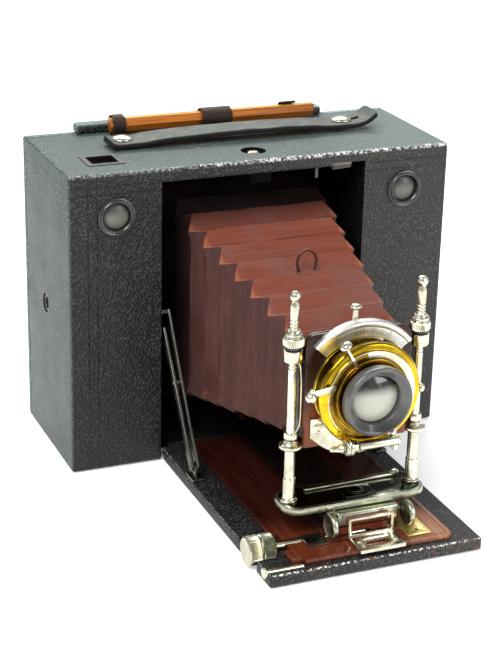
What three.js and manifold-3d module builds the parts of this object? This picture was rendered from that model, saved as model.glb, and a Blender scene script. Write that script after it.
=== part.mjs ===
// A folding bellows camera for roll film, standing open on its base, in millimetres, +Z up.
// The front faces -Y. Inside the camera group y = 0 is the body's front face, and the group is
// moved so that the origin lies in the middle of the body's rest face.
import * as THREE from "three";
import { mergeVertices } from "three/addons/utils/BufferGeometryUtils.js";
import Module from "manifold-3d";

const wasm = await Module();
wasm.setup();

// ---- driving dimensions ---------------------------------------------------------------------
const GAP = 0.3; // between pieces that touch
const BODY = { halfWidth: 111, height: 169, depth: 87, board: 7 };
const OPENING = { halfWidth: 59.5, top: 161.7 };
const BACK_FRONT = BODY.depth - 4.7; // front face of the removable back
const GATE = { front: 68.3, thick: 3.5, halfWidth: 51, halfHeight: 63.5, middle: 84.5 };
const AXIS_Z = 87; // height of the lens axis
const BED = { halfWidth: 58.5, front: -154.4, back: 6.8, thick: 7, hinge: 3.5 };
const PANEL = { halfWidth: 44, front: -150, top: 9.8 };
const TRACK = { halfWidth: 14.8, front: -133.5, back: -6, bottom: 10.8, top: 14.4 };
const PINION = { y: -129, z: 8.2, radius: 3, teeth: 10, tip: 0.45, shaft: 1.6, stem: 2.2, stemEnd: -31.4 };
const PRESSURE_ANGLE = THREE.MathUtils.degToRad(25);
const CARRIAGE = { left: -13.5, right: 20.8, front: -133.5, back: -104, bottom: 14.7, top: 22.7 };
const STRIKER = { x: 2.5, halfWidth: 12.6 };
const SHIFT = { halfWidth: 39.5, front: -130, back: -106, bottom: 23, top: 27, corner: 9 };
const POST = { x: 34.3, y: -119, top: 139 };
const BOARD_FRONT = -121.7; // front face of the wooden lens board
const LENS_BOARD = { halfWidth: 29, bottom: 56, top: 116, thick: 3.6, corner: 7, catchX: -2.2, catchY: -119.9 };
const SHUTTER = { radius: 25, flange: 27, back: -123.8, front: -137.6, bore: 17.6 };
const VALVE = { y: -141, z: 62.7, radius: 2.3, right: 14.5 };
const BARREL = { radius: 17.2, bore: 12.7, front: -147 };
const RELEASE = { x: -21.2, z: 94.2 };
const BELLOWS = { front: -115.7, back: 68, pleats: 11, wall: 0.8, fold: 4.5 };
const SPOOL = { x: 83, y: 50, flange: 14, core: 6.5, bottom: 14, top: 155 };
const FINDER = { x: 84.5, z: 145, hole: 9 };
const TOP_WINDOW = { y: 25, halfX: 7.5, halfY: 7 };
const BUTTON = { y: 18.4, recess: 7, radius: 4.2 };
const PENCIL = { y: 72, z: 175, flats: 7.3, left: -65, right: 59 };
const STRAP = { y: 47, halfWidth: 9, thick: 3, stud: 66 };

const FINISH = {
  leather: { color: 0x2b2d2e, roughness: 0.6, metalness: 0 },
  blackWood: { color: 0x121110, roughness: 0.8, metalness: 0 },
  mahogany: { color: 0x5a1f12, roughness: 0.3, metalness: 0 },
  redLeather: { color: 0x7a3b36, roughness: 0.7, metalness: 0 },
  strapLeather: { color: 0x33302d, roughness: 0.6, metalness: 0 },
  brownLeather: { color: 0x4a2a20, roughness: 0.6, metalness: 0 },
  pencilPaint: { color: 0xe08a1e, roughness: 0.3, metalness: 0 },
  nickel: { color: 0xc9c8b6, roughness: 0.25, metalness: 1 },
  brass: { color: 0xd8a526, roughness: 0.25, metalness: 1 },
  blackMetal: { color: 0x1c1c1e, roughness: 0.35, metalness: 0.6 },
  glass: { color: 0x8e9a96, roughness: 0.05, metalness: 0 },
  redGlass: { color: 0x7a0f0a, roughness: 0.1, metalness: 0 },
  spoolWood: { color: 0x3a2a1c, roughness: 0.6, metalness: 0 },
};

const camera = new THREE.Group();

// ---- geometry helpers -----------------------------------------------------------------------
function weld(geometry) {
  const bare = geometry.index ? geometry.toNonIndexed() : geometry.clone();
  bare.deleteAttribute("normal");
  bare.deleteAttribute("uv");
  return mergeVertices(bare, 1e-4);
}

function toSolid(geometry) {
  const welded = weld(geometry);
  const index = Array.from(welded.index.array);
  const kept = [];
  for (let i = 0; i < index.length; i += 3) {
    const [a, b, c] = index.slice(i, i + 3);
    if (a !== b && b !== c && c !== a) kept.push(a, b, c);
  }
  const build = (triangles) =>
    new wasm.Manifold(
      new wasm.Mesh({
        numProp: 3,
        vertProperties: new Float32Array(welded.attributes.position.array),
        triVerts: new Uint32Array(triangles),
      }),
    );
  const made = build(kept);
  if (made.volume() > 0) return made;
  const turned = [];
  for (let i = 0; i < kept.length; i += 3) turned.push(kept[i], kept[i + 2], kept[i + 1]);
  return build(turned);
}

function toGeometry(solid) {
  const mesh = solid.getMesh();
  const positions = new Float32Array(mesh.numVert * 3);
  for (let v = 0; v < mesh.numVert; v++)
    for (let k = 0; k < 3; k++) positions[3 * v + k] = mesh.vertProperties[v * mesh.numProp + k];
  const geometry = new THREE.BufferGeometry();
  geometry.setAttribute("position", new THREE.BufferAttribute(positions, 3));
  geometry.setIndex(Array.from(mesh.triVerts));
  geometry.computeVertexNormals();
  return geometry;
}

const cut = (from, ...tools) => tools.reduce((s, t) => s.subtract(t), from);
const join = (first, ...rest) => rest.reduce((s, t) => s.add(t), first);

function block(x0, x1, y0, y1, z0, z1) {
  const geometry = new THREE.BoxGeometry(x1 - x0, y1 - y0, z1 - z0);
  return toSolid(geometry.translate((x0 + x1) / 2, (y0 + y1) / 2, (z0 + z1) / 2));
}

// A profile of [radius, distance] pairs, turned about the +X, +Y or +Z direction through a point.
function turned(profile, along, [x, y, z] = [0, 0, 0], segments = 24) {
  const points = profile.map(([r, d]) => new THREE.Vector2(r, d));
  const geometry = new THREE.LatheGeometry(points, segments);
  if (along === "X") geometry.rotateZ(-Math.PI / 2);
  if (along === "Z") geometry.rotateX(Math.PI / 2);
  return toSolid(geometry.translate(x, y, z));
}

function rod(radius, from, to, along, place, segments = 16) {
  return turned([[0, from], [radius, from], [radius, to], [0, to]], along, place, segments);
}

function ring(inner, outer, from, to, along, place, segments = 24) {
  const profile = [[inner, from], [outer, from], [outer, to], [inner, to], [inner, from]];
  return turned(profile, along, place, segments);
}

// An outline drawn in two of the axes and pushed along the third, between two places on it.
function pushed(shape, along, from, to, curveSegments = 8) {
  const options = { depth: to - from, bevelEnabled: false, curveSegments };
  const geometry = new THREE.ExtrudeGeometry(shape, options);
  geometry.translate(0, 0, from);
  if (along === "X") geometry.applyMatrix4(new THREE.Matrix4().set(0, 0, 1, 0, 1, 0, 0, 0, 0, 1, 0, 0, 0, 0, 0, 1));
  if (along === "Y") geometry.applyMatrix4(new THREE.Matrix4().set(1, 0, 0, 0, 0, 0, 1, 0, 0, 1, 0, 0, 0, 0, 0, 1));
  return toSolid(geometry);
}

function outline(points) {
  return new THREE.Shape(points.map(([a, b]) => new THREE.Vector2(a, b)));
}

function roundedOutline(x0, x1, y0, y1, r) {
  const s = new THREE.Shape();
  s.moveTo(x0 + r, y0).lineTo(x1 - r, y0).absarc(x1 - r, y0 + r, r, -Math.PI / 2, 0, false);
  s.lineTo(x1, y1 - r).absarc(x1 - r, y1 - r, r, 0, Math.PI / 2, false);
  s.lineTo(x0 + r, y1).absarc(x0 + r, y1 - r, r, Math.PI / 2, Math.PI, false);
  s.lineTo(x0, y0 + r).absarc(x0 + r, y0 + r, r, Math.PI, 1.5 * Math.PI, false);
  return s;
}

// A flat bar between two points of the Y-Z plane, with round ends.
function bar(from, to, halfWidth, x0, x1) {
  const [dy, dz] = [to[0] - from[0], to[1] - from[1]];
  const turn = Math.atan2(dz, dy);
  const s = new THREE.Shape();
  s.absarc(from[0], from[1], halfWidth, turn + Math.PI / 2, turn + 1.5 * Math.PI, false);
  s.absarc(to[0], to[1], halfWidth, turn - Math.PI / 2, turn + Math.PI / 2, false);
  return pushed(s, "X", x0, x1, 4);
}

function add(name, finish, solid) {
  const mesh = new THREE.Mesh(toGeometry(solid), new THREE.MeshStandardMaterial(FINISH[finish]));
  mesh.name = name;
  camera.add(mesh);
}

// Left is -X, right is +X, seen from in front of the camera.
const SIDES = [["left", -1], ["right", 1]];
const between = (side, near, far) => (side > 0 ? [near, far] : [-far, -near]);

// ---- wooden body ----------------------------------------------------------------------------
function topBoard() {
  const board = block(-BODY.halfWidth, BODY.halfWidth, 0, BACK_FRONT - GAP, OPENING.top + GAP, BODY.height);
  const { y, halfX, halfY } = TOP_WINDOW;
  const windowHole = block(-FINDER.x - halfX, -FINDER.x + halfX, y - halfY, y + halfY, 160, 170);
  const recess = rod(BUTTON.recess, 166, 170, "Z", [0, BUTTON.y, 0]);
  const stemHole = rod(BUTTON.radius + GAP, 160, 167, "Z", [0, BUTTON.y, 0]);
  const journals = SIDES.map(([, side]) => rod(2.6, 160, 166, "Z", [side * SPOOL.x, SPOOL.y, 0], 16));
  const studs = SIDES.map(([, side]) => rod(2.5, 165, 170, "Z", [side * STRAP.stud, STRAP.y, 0], 16));
  add("top_board", "leather", cut(board, windowHole, recess, stemHole, ...journals, ...studs));
}

function bottomBoard() {
  const board = block(-BODY.halfWidth, BODY.halfWidth, BODY.board + GAP, BACK_FRONT - GAP, 0, BODY.board);
  const keyRecess = rod(13.5, -1, 4.6, "Z", [SPOOL.x, SPOOL.y, 0]);
  const keyHole = rod(3.2, 4, 8, "Z", [SPOOL.x, SPOOL.y, 0], 16);
  const journal = rod(2.6, 3, 8, "Z", [-SPOOL.x, SPOOL.y, 0], 16);
  const bush = rod(8.3, -1, 8, "Z", [0, 25, 0]);
  add("bottom_board", "leather", cut(board, keyRecess, keyHole, journal, bush));
}

function sideWalls() {
  const { y, halfX, halfY } = TOP_WINDOW;
  for (const [name, side] of SIDES) {
    const [x0, x1] = between(side, BODY.halfWidth - BODY.board, BODY.halfWidth);
    let wall = block(x0, x1, BODY.board + GAP, BACK_FRONT - GAP, BODY.board + GAP, OPENING.top);
    if (side < 0) wall = cut(wall, rod(5.3, -112, -103, "X", [0, 46, 84], 24));
    else wall = cut(wall, block(100, 112, y - halfY, y + halfY, FINDER.z - halfX, FINDER.z + halfX));
    add(name + "_wall", "leather", wall);
  }
}

function frontPanels() {
  for (const [name, side] of SIDES) {
    const [x0, x1] = between(side, OPENING.halfWidth, BODY.halfWidth);
    const panel = block(x0, x1, 0, BODY.board, 0, OPENING.top);
    const hole = rod(FINDER.hole, -1, 8, "Y", [side * FINDER.x, 0, FINDER.z]);
    const [h0, h1] = between(side, OPENING.halfWidth - 1, OPENING.halfWidth + 4);
    const hingeHole = rod(1.9, h0, h1, "X", [0, BED.hinge, BED.hinge], 16);
    add("front_panel_" + name, "leather", cut(panel, hole, hingeHole));
  }
}

// Two partitions and the film gate between the bellows chamber and the spool chambers.
function innerFrame() {
  const [z0, z1] = [BODY.board + GAP, OPENING.top];
  const gateBack = GATE.front + GATE.thick;
  const gate = cut(
    block(-62.5, 62.5, GATE.front, gateBack, z0, z1),
    block(-GATE.halfWidth, GATE.halfWidth, 60, 80, GATE.middle - GATE.halfHeight, GATE.middle + GATE.halfHeight),
  );
  const sides = SIDES.map(([, side]) => {
    const [x0, x1] = between(side, OPENING.halfWidth, 62.5);
    return block(x0, x1, BODY.board + GAP, gateBack, z0, z1);
  });
  add("inner_frame", "blackWood", join(gate, ...sides));
}

function backPanel() {
  const panel = block(-BODY.halfWidth, BODY.halfWidth, BACK_FRONT, BODY.depth, 0, BODY.height);
  const lip = block(-82, 68, 78.3, BODY.depth, BODY.height + GAP, BODY.height + 5.5);
  const bridge = block(-82, 68, BACK_FRONT, BODY.depth, BODY.height - 1, BODY.height + 1);
  const window = rod(7.3, 80, 90, "Y", [0, 0, GATE.middle]);
  add("back_panel", "leather", cut(join(panel, lip, bridge), window));
}

function rubyWindow() {
  const profile = [[0, 83.2], [7, 83.2], [7, 87.3], [9, 87.3], [9, 88.3], [6, 88.3], [6, 85], [0, 85]];
  add("ruby_window", "redGlass", turned(profile, "Y", [0, 0, GATE.middle]));
}

// ---- film spools and their key --------------------------------------------------------------
function spools() {
  const { core, flange, bottom, top } = SPOOL;
  const half = [[core, 21], [core, 148], [flange, 148], [flange, 150], [core, 150], [core, top], [2.3, top], [2.3, 165.5]];
  const lower = [[2.3, 3.6], [2.3, bottom], [core, bottom], [core, 19], [flange, 19], [flange, 21]];
  const profile = [[0, 3.6], ...lower, ...half, [0, 165.5]];
  add("feed_spool", "spoolWood", turned(profile, "Z", [-SPOOL.x, SPOOL.y, 0], 16));
  const socket = [[0, 18], [3.3, 18], [3.3, bottom], [core, bottom], [core, 19], [flange, 19], [flange, 21]];
  add("takeup_spool", "spoolWood", turned([...socket, ...half, [0, 165.5]], "Z", [SPOOL.x, SPOOL.y, 0], 16));
}

function windKey() {
  const disc = rod(7, 3.2, 4.3, "Z", [SPOOL.x, SPOOL.y, 0]);
  const wing = block(SPOOL.x - 11, SPOOL.x + 11, SPOOL.y - 1.6, SPOOL.y + 1.6, 0.5, 3.4);
  const shaft = rod(2.9, 4, 17.5, "Z", [SPOOL.x, SPOOL.y, 0], 16);
  add("wind_key", "nickel", join(disc, wing, shaft));
}

// ---- finders --------------------------------------------------------------------------------
function finders() {
  for (const [name, side] of SIDES) {
    const place = [side * FINDER.x, 0, FINDER.z];
    const bezel = [[7.5, -1.4], [10.4, -1.4], [10.4, -0.3], [8.7, -0.3], [8.7, 6], [7.5, 6], [7.5, -1.4]];
    add("finder_bezel_" + name, "blackMetal", turned(bezel, "Y", place, 20));
    const bulge = [[0, -0.6], [4, 0], [7.2, 1.6], [7.2, 3], [0, 3]];
    add("finder_lens_" + name, "glass", turned(bulge, "Y", place, 16));
  }
  const { y, halfX, halfY } = TOP_WINDOW;
  const [w, d] = [halfX - GAP, halfY - GAP];
  add("finder_window_top", "glass", block(-FINDER.x - w, -FINDER.x + w, y - d, y + d, 165.2, 167.4));
  add("finder_window_side", "glass", block(107.2, 109.4, y - d, y + d, FINDER.z - w, FINDER.z + w));
}

// ---- carrying strap and pencil --------------------------------------------------------------
function handleStrap() {
  const { y, halfWidth, thick, stud } = STRAP;
  const under = [[-74, 171.3], [-72.3, 170.3], [-stud + 7, 170.3], [-38, 172], [0, 172.7], [38, 172.4]];
  under.push([stud - 7, 170.9], [stud + 7, 170.9], [80, 172.9], [85.5, 177]);
  const over = under.map(([x, z]) => [x, z + thick]).reverse();
  const strip = pushed(outline([...under, ...over]), "Y", y - halfWidth, y + halfWidth);
  const holes = SIDES.map(([, side]) => rod(2.5, 165, 180, "Z", [side * stud, y, 0], 16));
  const slot = block(stud, stud + 11, y - 1.5, y + 1.5, 165, 180);
  add("handle_strap", "strapLeather", cut(strip, ...holes, slot));
  SIDES.forEach(([name, side]) => {
    const base = (side < 0 ? 170.3 : 170.9) + thick + GAP;
    const head = [[0, 165.4], [2.2, 165.4], [2.2, base], [6, base], [5, base + 1.3], [2.5, base + 2.2], [0, base + 2.4]];
    add("handle_stud_" + name, "nickel", turned(head, "Z", [side * stud, y, 0], 16));
  });
}

function pencilAndHolder() {
  const { y, z, flats, left, right } = PENCIL;
  const hex = new THREE.Shape();
  for (let i = 0; i < 6; i++) {
    const [a, r] = [(i + 0.5) * (Math.PI / 3), flats / Math.sqrt(3)];
    if (i) hex.lineTo(y + r * Math.sin(a), z + r * Math.cos(a));
    else hex.moveTo(y + r * Math.sin(a), z + r * Math.cos(a));
  }
  add("pencil", "pencilPaint", pushed(hex, "X", left, right));
  const strip = block(-64, 48, y - 4, y + 4, BODY.height + GAP, BODY.height + 1.4);
  const loops = [[-64, -57], [-11, 7], [39, 48]].map(([x0, x1]) => rod(5.7, x0, x1, "X", [0, y, z], 16));
  const channel = rod(4.6, -70, 60, "X", [0, y, z], 16);
  const openFront = block(38, 49, y - 7, y - 1, 170.4, 182); // the right loop has lost its front half
  add("pencil_holder", "brownLeather", cut(join(strip, ...loops), channel, openFront));
}

// ---- bed release, tripod bushes -------------------------------------------------------------
function bedRelease() {
  const { y, radius } = BUTTON;
  const cap = [[0, 156.5], [1.8, 156.5], [1.8, 163.2], [radius, 163.2], [radius, 167.6], [radius - 1.2, 168.7], [0, 169]];
  add("door_button", "nickel", turned(cap, "Z", [0, y, 0], 24));
  const hook = [[7, 161], [7, 154], [9.5, 154], [9.5, 156.5], [8.6, 157.4], [8.6, 159.6], [14.5, 159.6], [14.5, 161]];
  add("door_latch", "nickel", pushed(outline(hook), "X", -6, 6));
}

function tripodBushes() {
  add("tripod_bush_side", "blackMetal", ring(3.3, 5, -110.4, -104.3, "X", [0, 46, 84], 24));
  add("tripod_bush_base", "brass", ring(3.3, 8, 0.2, 6.8, "Z", [0, 25, 0], 24));
}

// ---- bed ------------------------------------------------------------------------------------
function bedBoard() {
  const { halfWidth, front, back, thick, hinge } = BED;
  const board = block(-halfWidth, halfWidth, front, back, 0, thick);
  const knobNotch = block(-60, -45.5, PINION.y - 8.6, PINION.y + 8.6, -1, 8);
  const shaftGroove = block(-60, 34.5, PINION.y - 2.1, PINION.y + 2.1, 6, 8);
  const stemGroove = block(-60, PINION.stemEnd + 0.2, PINION.y - 2.8, PINION.y + 2.8, 5.8, 8);
  const pinionPocket = block(-5.4, 5.4, PINION.y - 4.2, PINION.y + 4.2, 4.3, 8);
  const rodGroove = block(-60, -38, PINION.y - 22.4, PINION.y - 18.6, 4.8, 8);
  const hingeHole = rod(1.9, -60, 60, "X", [0, hinge, hinge], 16);
  const knuckles = SIDES.map(([, side]) => {
    const [x0, x1] = between(side, halfWidth - 4.3, halfWidth + 1);
    return block(x0, x1, -2, back + 1, -1, 8);
  });
  const tools = [knobNotch, shaftGroove, stemGroove, pinionPocket, rodGroove, hingeHole, ...knuckles];
  add("bed_board", "leather", cut(board, ...tools));
}

function bedPanel() {
  const shape = roundedOutline(-PANEL.halfWidth, PANEL.halfWidth, PANEL.front, -2, 3.5);
  const panel = pushed(shape, "Z", BED.thick + GAP, PANEL.top, 5);
  const knobCorner = block(-60, -40, PINION.y - 8.6, PINION.y + 8.6, 5, 10);
  const shaftGroove = block(-60, 34.5, PINION.y - 2.1, PINION.y + 2.1, 5, 10);
  const stemGroove = block(-60, PINION.stemEnd + 0.2, PINION.y - 2.8, PINION.y + 2.8, 5, 10);
  const pinionPocket = block(-5.4, 5.4, PINION.y - 4.2, PINION.y + 4.2, 5, 10);
  const rodCorner = block(-60, -37.5, -160, PINION.y - 18, 5, 10);
  add("bed_panel", "mahogany", cut(panel, knobCorner, shaftGroove, stemGroove, pinionPocket, rodCorner));
}

function hingeRod() {
  const profile = [[0, -63], [1.6, -63], [1.6, -59], [3.2, -59], [3.2, -54.7], [1.6, -54.7]];
  const other = [[1.6, 54.7], [3.2, 54.7], [3.2, 59], [1.6, 59], [1.6, 63], [0, 63]];
  add("hinge_rod", "nickel", turned([...profile, ...other], "X", [0, BED.hinge, BED.hinge], 16));
}

// Each side is held open by a folding arm of two bars, locked straight.
function struts() {
  const [top, outerTop, middle, foot] = [[4, 87], [3, 77], [-15, 52.5], [-42, 14]];
  for (const [name, side] of SIDES) {
    const inner = bar(top, foot, 2.1, ...between(side, 53.3, 54.7));
    const outer = bar(outerTop, foot, 2.1, ...between(side, 56.4, 57.8));
    const pins = [middle, foot].map(([y, z]) => rod(1.3, ...between(side, 52.8, 58.2), "X", [0, y, z], 12));
    const topPin = rod(1.3, ...between(side, 52.8, 59.2), "X", [0, ...top], 12);
    const tab = block(...between(side, 55, 56.2), -45.5, -38.5, BED.thick + 1, 15.5);
    const bracket = block(...between(side, 51.5, 58), -47, -36, BED.thick + GAP, BED.thick + 1.6);
    add("strut_" + name, "nickel", join(inner, outer, ...pins, topPin, tab, bracket));
  }
}

// The strike that the body's latch hooks when the bed is shut.
function strikerPlate() {
  const [left, right] = [STRIKER.x - STRIKER.halfWidth, STRIKER.x + STRIKER.halfWidth];
  const foot = block(left, right, BED.front, -138, PANEL.top + GAP, PANEL.top + 2.2);
  const slot = block(left + 6, right - 6, -150, -144.5, 5, 15);
  const window = block(left + 1.7, right - 1.7, -142, -136, 13, 20.6);
  const upright = cut(block(left, right, -139.6, -138, PANEL.top + 1, 22), window);
  add("striker_plate", "nickel", join(cut(foot, slot), upright));
}

// A brass plate over each end of the pinion's groove, with a thin strip between them.
function pinionCover() {
  const left = block(-31, -20.2, -139, -127, PANEL.top + GAP, PANEL.top + 0.9);
  const right = block(20.2, 33.6, -146, -127, PANEL.top + GAP, PANEL.top + 0.9);
  const strip = block(-21, 21, -137.6, -134.2, PANEL.top + GAP, PANEL.top + 0.7);
  add("pinion_cover", "brass", join(left, right, strip));
}

function supportRod() {
  const profile = [[0, -60.5], [2.8, -60.5], [2.8, -58.9], [1.5, -58.9], [1.5, -38.6], [0, -38.6]];
  add("support_rod", "nickel", turned(profile, "X", [0, PINION.y - 20.5, 6.6], 16));
}

// ---- focusing rack and pinion ---------------------------------------------------------------
const MODULE = (2 * PINION.radius) / PINION.teeth;
const ROOT = PINION.radius - PINION.tip - 0.15;

// Half of a tooth's angle at a radius, on an involute flank, with a little backlash.
function toothHalfAngle(radius) {
  const involute = (a) => Math.tan(a) - a;
  const base = PINION.radius * Math.cos(PRESSURE_ANGLE);
  const here = involute(Math.acos(Math.min(1, base / Math.max(radius, base))));
  const backlash = 0.08 / PINION.radius;
  return Math.PI / (2 * PINION.teeth) - backlash + involute(PRESSURE_ANGLE) - here;
}

function pinionShaft() {
  const base = PINION.radius * Math.cos(PRESSURE_ANGLE);
  const radii = [ROOT, base, PINION.radius, PINION.radius + PINION.tip];
  const points = [];
  for (let tooth = 0; tooth < PINION.teeth; tooth++) {
    const middle = Math.PI / 2 + (2 * Math.PI * tooth) / PINION.teeth;
    const flank = radii.map((r) => [r, toothHalfAngle(r)]);
    for (const [r, half] of flank) points.push([r, middle - half]);
    for (const [r, half] of flank.reverse()) points.push([r, middle + half]);
  }
  const place = ([r, a]) => [PINION.y + r * Math.cos(a), PINION.z + r * Math.sin(a)];
  const gear = pushed(outline(points.map(place)), "X", -4.5, 4.5);
  const shaft = rod(PINION.shaft, -46.2, 33.5, "X", [0, PINION.y, PINION.z], 16);
  const stem = rod(PINION.stem, -46.2, PINION.stemEnd, "X", [0, PINION.y, PINION.z], 20);
  add("pinion_shaft", "nickel", join(gear, shaft, stem));
}

function focusKnob() {
  const r = 7.6;
  const profile = [[0, -61.3], [r - 1, -61.3], [r, -60.6], [r, -54.6], [r - 0.9, -54.3], [r - 0.9, -53.7]];
  profile.push([r, -53.4], [r, -47.6], [r - 0.8, -46.8], [0, -46.8]);
  add("focus_knob", "nickel", turned(profile, "X", [0, PINION.y, PINION.z], 20));
}

// The track slides on the bed. A rack is cut into the roof of a groove along its underside.
function focusTrack() {
  const plate = block(-TRACK.halfWidth, TRACK.halfWidth, TRACK.front, TRACK.back, TRACK.bottom, TRACK.top);
  const pitchLine = PINION.z + PINION.radius;
  const root = pitchLine + PINION.tip + 0.2;
  const [near, far] = [TRACK.front - 1, PINION.y + 8];
  const groove = block(-5, 5, near, far, TRACK.bottom - 1, root);
  const pitch = Math.PI * MODULE;
  const lean = Math.tan(PRESSURE_ANGLE);
  const teeth = [];
  for (let y = PINION.y + pitch / 2; y < far - 1; y += pitch) teeth.push(y);
  for (let y = PINION.y - pitch / 2; y > TRACK.front + 0.7; y -= pitch) teeth.push(y);
  const half = (height) => pitch / 4 - 0.08 + lean * height;
  const rack = teeth.map((y) => {
    const [tip, heel] = [half(-PINION.tip), half(root + 0.2 - pitchLine)];
    const z0 = pitchLine - PINION.tip;
    const shape = outline([[y - tip, z0], [y + tip, z0], [y + heel, root + 0.2], [y - heel, root + 0.2]]);
    return pushed(shape, "X", -4, 4);
  });
  add("focus_track", "blackMetal", join(cut(plate, groove), ...rack));
}

// ---- carriage and its grips -----------------------------------------------------------------
function carriage() {
  const { left, right, front, back, bottom, top } = CARRIAGE;
  const shape = roundedOutline(left, right, front, back, 2);
  const sockets = [[left - 1, left + 8], [right - 8, right + 1]].map(([a, b]) => rod(1.9, a, b, "X", [0, -129, 18]));
  add("carriage_block", "nickel", cut(pushed(shape, "Z", bottom, top, 4), ...sockets));
}

// Finger pads on pins, pressed towards each other to free the carriage.
function pinchGrips() {
  for (const [name, side] of SIDES) {
    const face = side < 0 ? CARRIAGE.left : CARRIAGE.right;
    const ends = side < 0 ? [face - 4.5, face + 6] : [face - 6, face + 4.5];
    const pin = rod(1.6, ...ends, "X", [0, -129, 18]);
    const profile = [[0, 2.7], [6.4, 2.7], [6.9, 3.2], [6.9, 5.1], [6.3, 5.7], [0, 5.7]];
    const pad = turned(profile.map(([r, d]) => [r, face + side * d]), "X", [0, -135, 17.7], 28);
    add("pinch_grip_" + name, "nickel", join(pin, pad));
  }
}

// ---- front standard -------------------------------------------------------------------------
function shiftPlate() {
  const { halfWidth, front, back, bottom, top, corner } = SHIFT;
  const plate = pushed(roundedOutline(-halfWidth, halfWidth, front, back, corner), "Z", bottom, top, 4);
  const seat = block(-6, 11, -127, -116, top - 0.5, top + 0.9);
  const boss = rod(3.2, top, top + 1.8, "Z", [2, -121.5, 0], 20);
  add("shift_plate", "nickel", join(plate, seat, boss));
}

function shiftLever() {
  const [pivot, tip] = [[29, -110], [-23, -112.6]];
  const shape = outline([[pivot[0] - 4, pivot[1] - 2], [pivot[0], pivot[1] - 2.4], [pivot[0], pivot[1] + 2.4],
    [pivot[0] - 4, pivot[1] + 2], [tip[0], tip[1] + 0.8], [tip[0], tip[1] - 0.8]]);
  const arm = pushed(shape, "Z", SHIFT.top + GAP, SHIFT.top + 1.5);
  const screw = turned([[0, 27.3], [2.6, 27.3], [2.6, 29.6], [1.8, 30.3], [0, 30.5]], "Z", [...pivot, 0], 20);
  add("shift_lever", "nickel", join(arm, screw));
}

function posts() {
  const [foot, thin] = [3.15, 2];
  for (const [name, side] of SIDES) {
    const profile = [[0, 27.3], [4.4, 27.3], [4.4, 28.3], [foot, 28.8], [foot, 40], [2.75, 40.4], [2.75, 55.6]];
    profile.push([4, 55.9], [5.9, 56.6], [5.9, 58.4], [4, 59.4], [3, 60.2], [thin, 61], [thin, 133.4]);
    profile.push([2.6, 134.6], [2.8, 136.4], [2.3, 138.2], [0, POST.top]);
    add("post_" + name, "nickel", turned(profile, "Z", [side * POST.x, POST.y, 0], 12));
  }
}

// A plate behind the lens board, held to each post by an upper and a lower sleeve.
function lensFrame() {
  const outlineOfPlate = roundedOutline(-28.6, 28.6, LENS_BOARD.bottom, LENS_BOARD.top - 0.5, LENS_BOARD.corner);
  const plate = pushed(outlineOfPlate, "Y", -117.5, -116.1, 6);
  const light = rod(16.8, -119, -115, "Y", [0, 0, AXIS_Z], 24);
  let frame = cut(plate, light);
  for (const [, side] of SIDES) {
    const place = [side * POST.x, POST.y, 0];
    const upper = rod(4.9, 102.6, 109.2, "Z", place, 16);
    const lower = rod(3.4, 61.6, 65, "Z", place, 12);
    const strip = block(...between(side, 28.4, 32.2), -117.9, -116.1, 61.6, 109.2);
    frame = join(frame, upper, lower, strip);
  }
  const bores = SIDES.map(([, side]) => rod(2.4, 55, 125, "Z", [side * POST.x, POST.y, 0], 12));
  const boardSpace = block(-29.2, 29.2, -130, -117.8, 40, 125);
  add("lens_frame", "nickel", cut(frame, ...bores, boardSpace));
}

function clampNuts() {
  for (const [name, side] of SIDES) {
    const profile = [[2.4, 109.6], [4.6, 109.6], [4.6, 111], [5.3, 111.4], [5.3, 115], [4.2, 115.8], [4.6, 117], [3.4, 119]];
    profile.push([2.4, 119], [2.4, 109.6]);
    add("clamp_nut_" + name, "nickel", turned(profile, "Z", [side * POST.x, POST.y, 0], 12));
  }
}

function lensBoard() {
  const { halfWidth, bottom, top, thick } = LENS_BOARD;
  const back = BOARD_FRONT + thick;
  const shape = roundedOutline(-halfWidth, halfWidth, bottom, top, LENS_BOARD.corner);
  const board = pushed(shape, "Y", BOARD_FRONT, back, 6);
  const foot = block(1 - halfWidth, halfWidth - 1, BOARD_FRONT, back, bottom, bottom + 12); // clears the posts
  const hole = rod(18.6, -130, -110, "Y", [0, 0, AXIS_Z], 24);
  const pinHole = rod(1.2, 109.6, 120, "Z", [LENS_BOARD.catchX, LENS_BOARD.catchY, 0], 12);
  add("lens_board", "mahogany", cut(join(board, foot), hole, pinHole));
}

function boardCatch() {
  const profile = [[0, 110], [0.9, 110], [0.9, 116.4], [2, 116.4], [1.6, 118], [1.5, 126], [3, 127.2], [2.6, 128.6], [0, 129]];
  add("board_catch", "nickel", turned(profile, "Z", [LENS_BOARD.catchX, LENS_BOARD.catchY, 0], 12));
}

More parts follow.
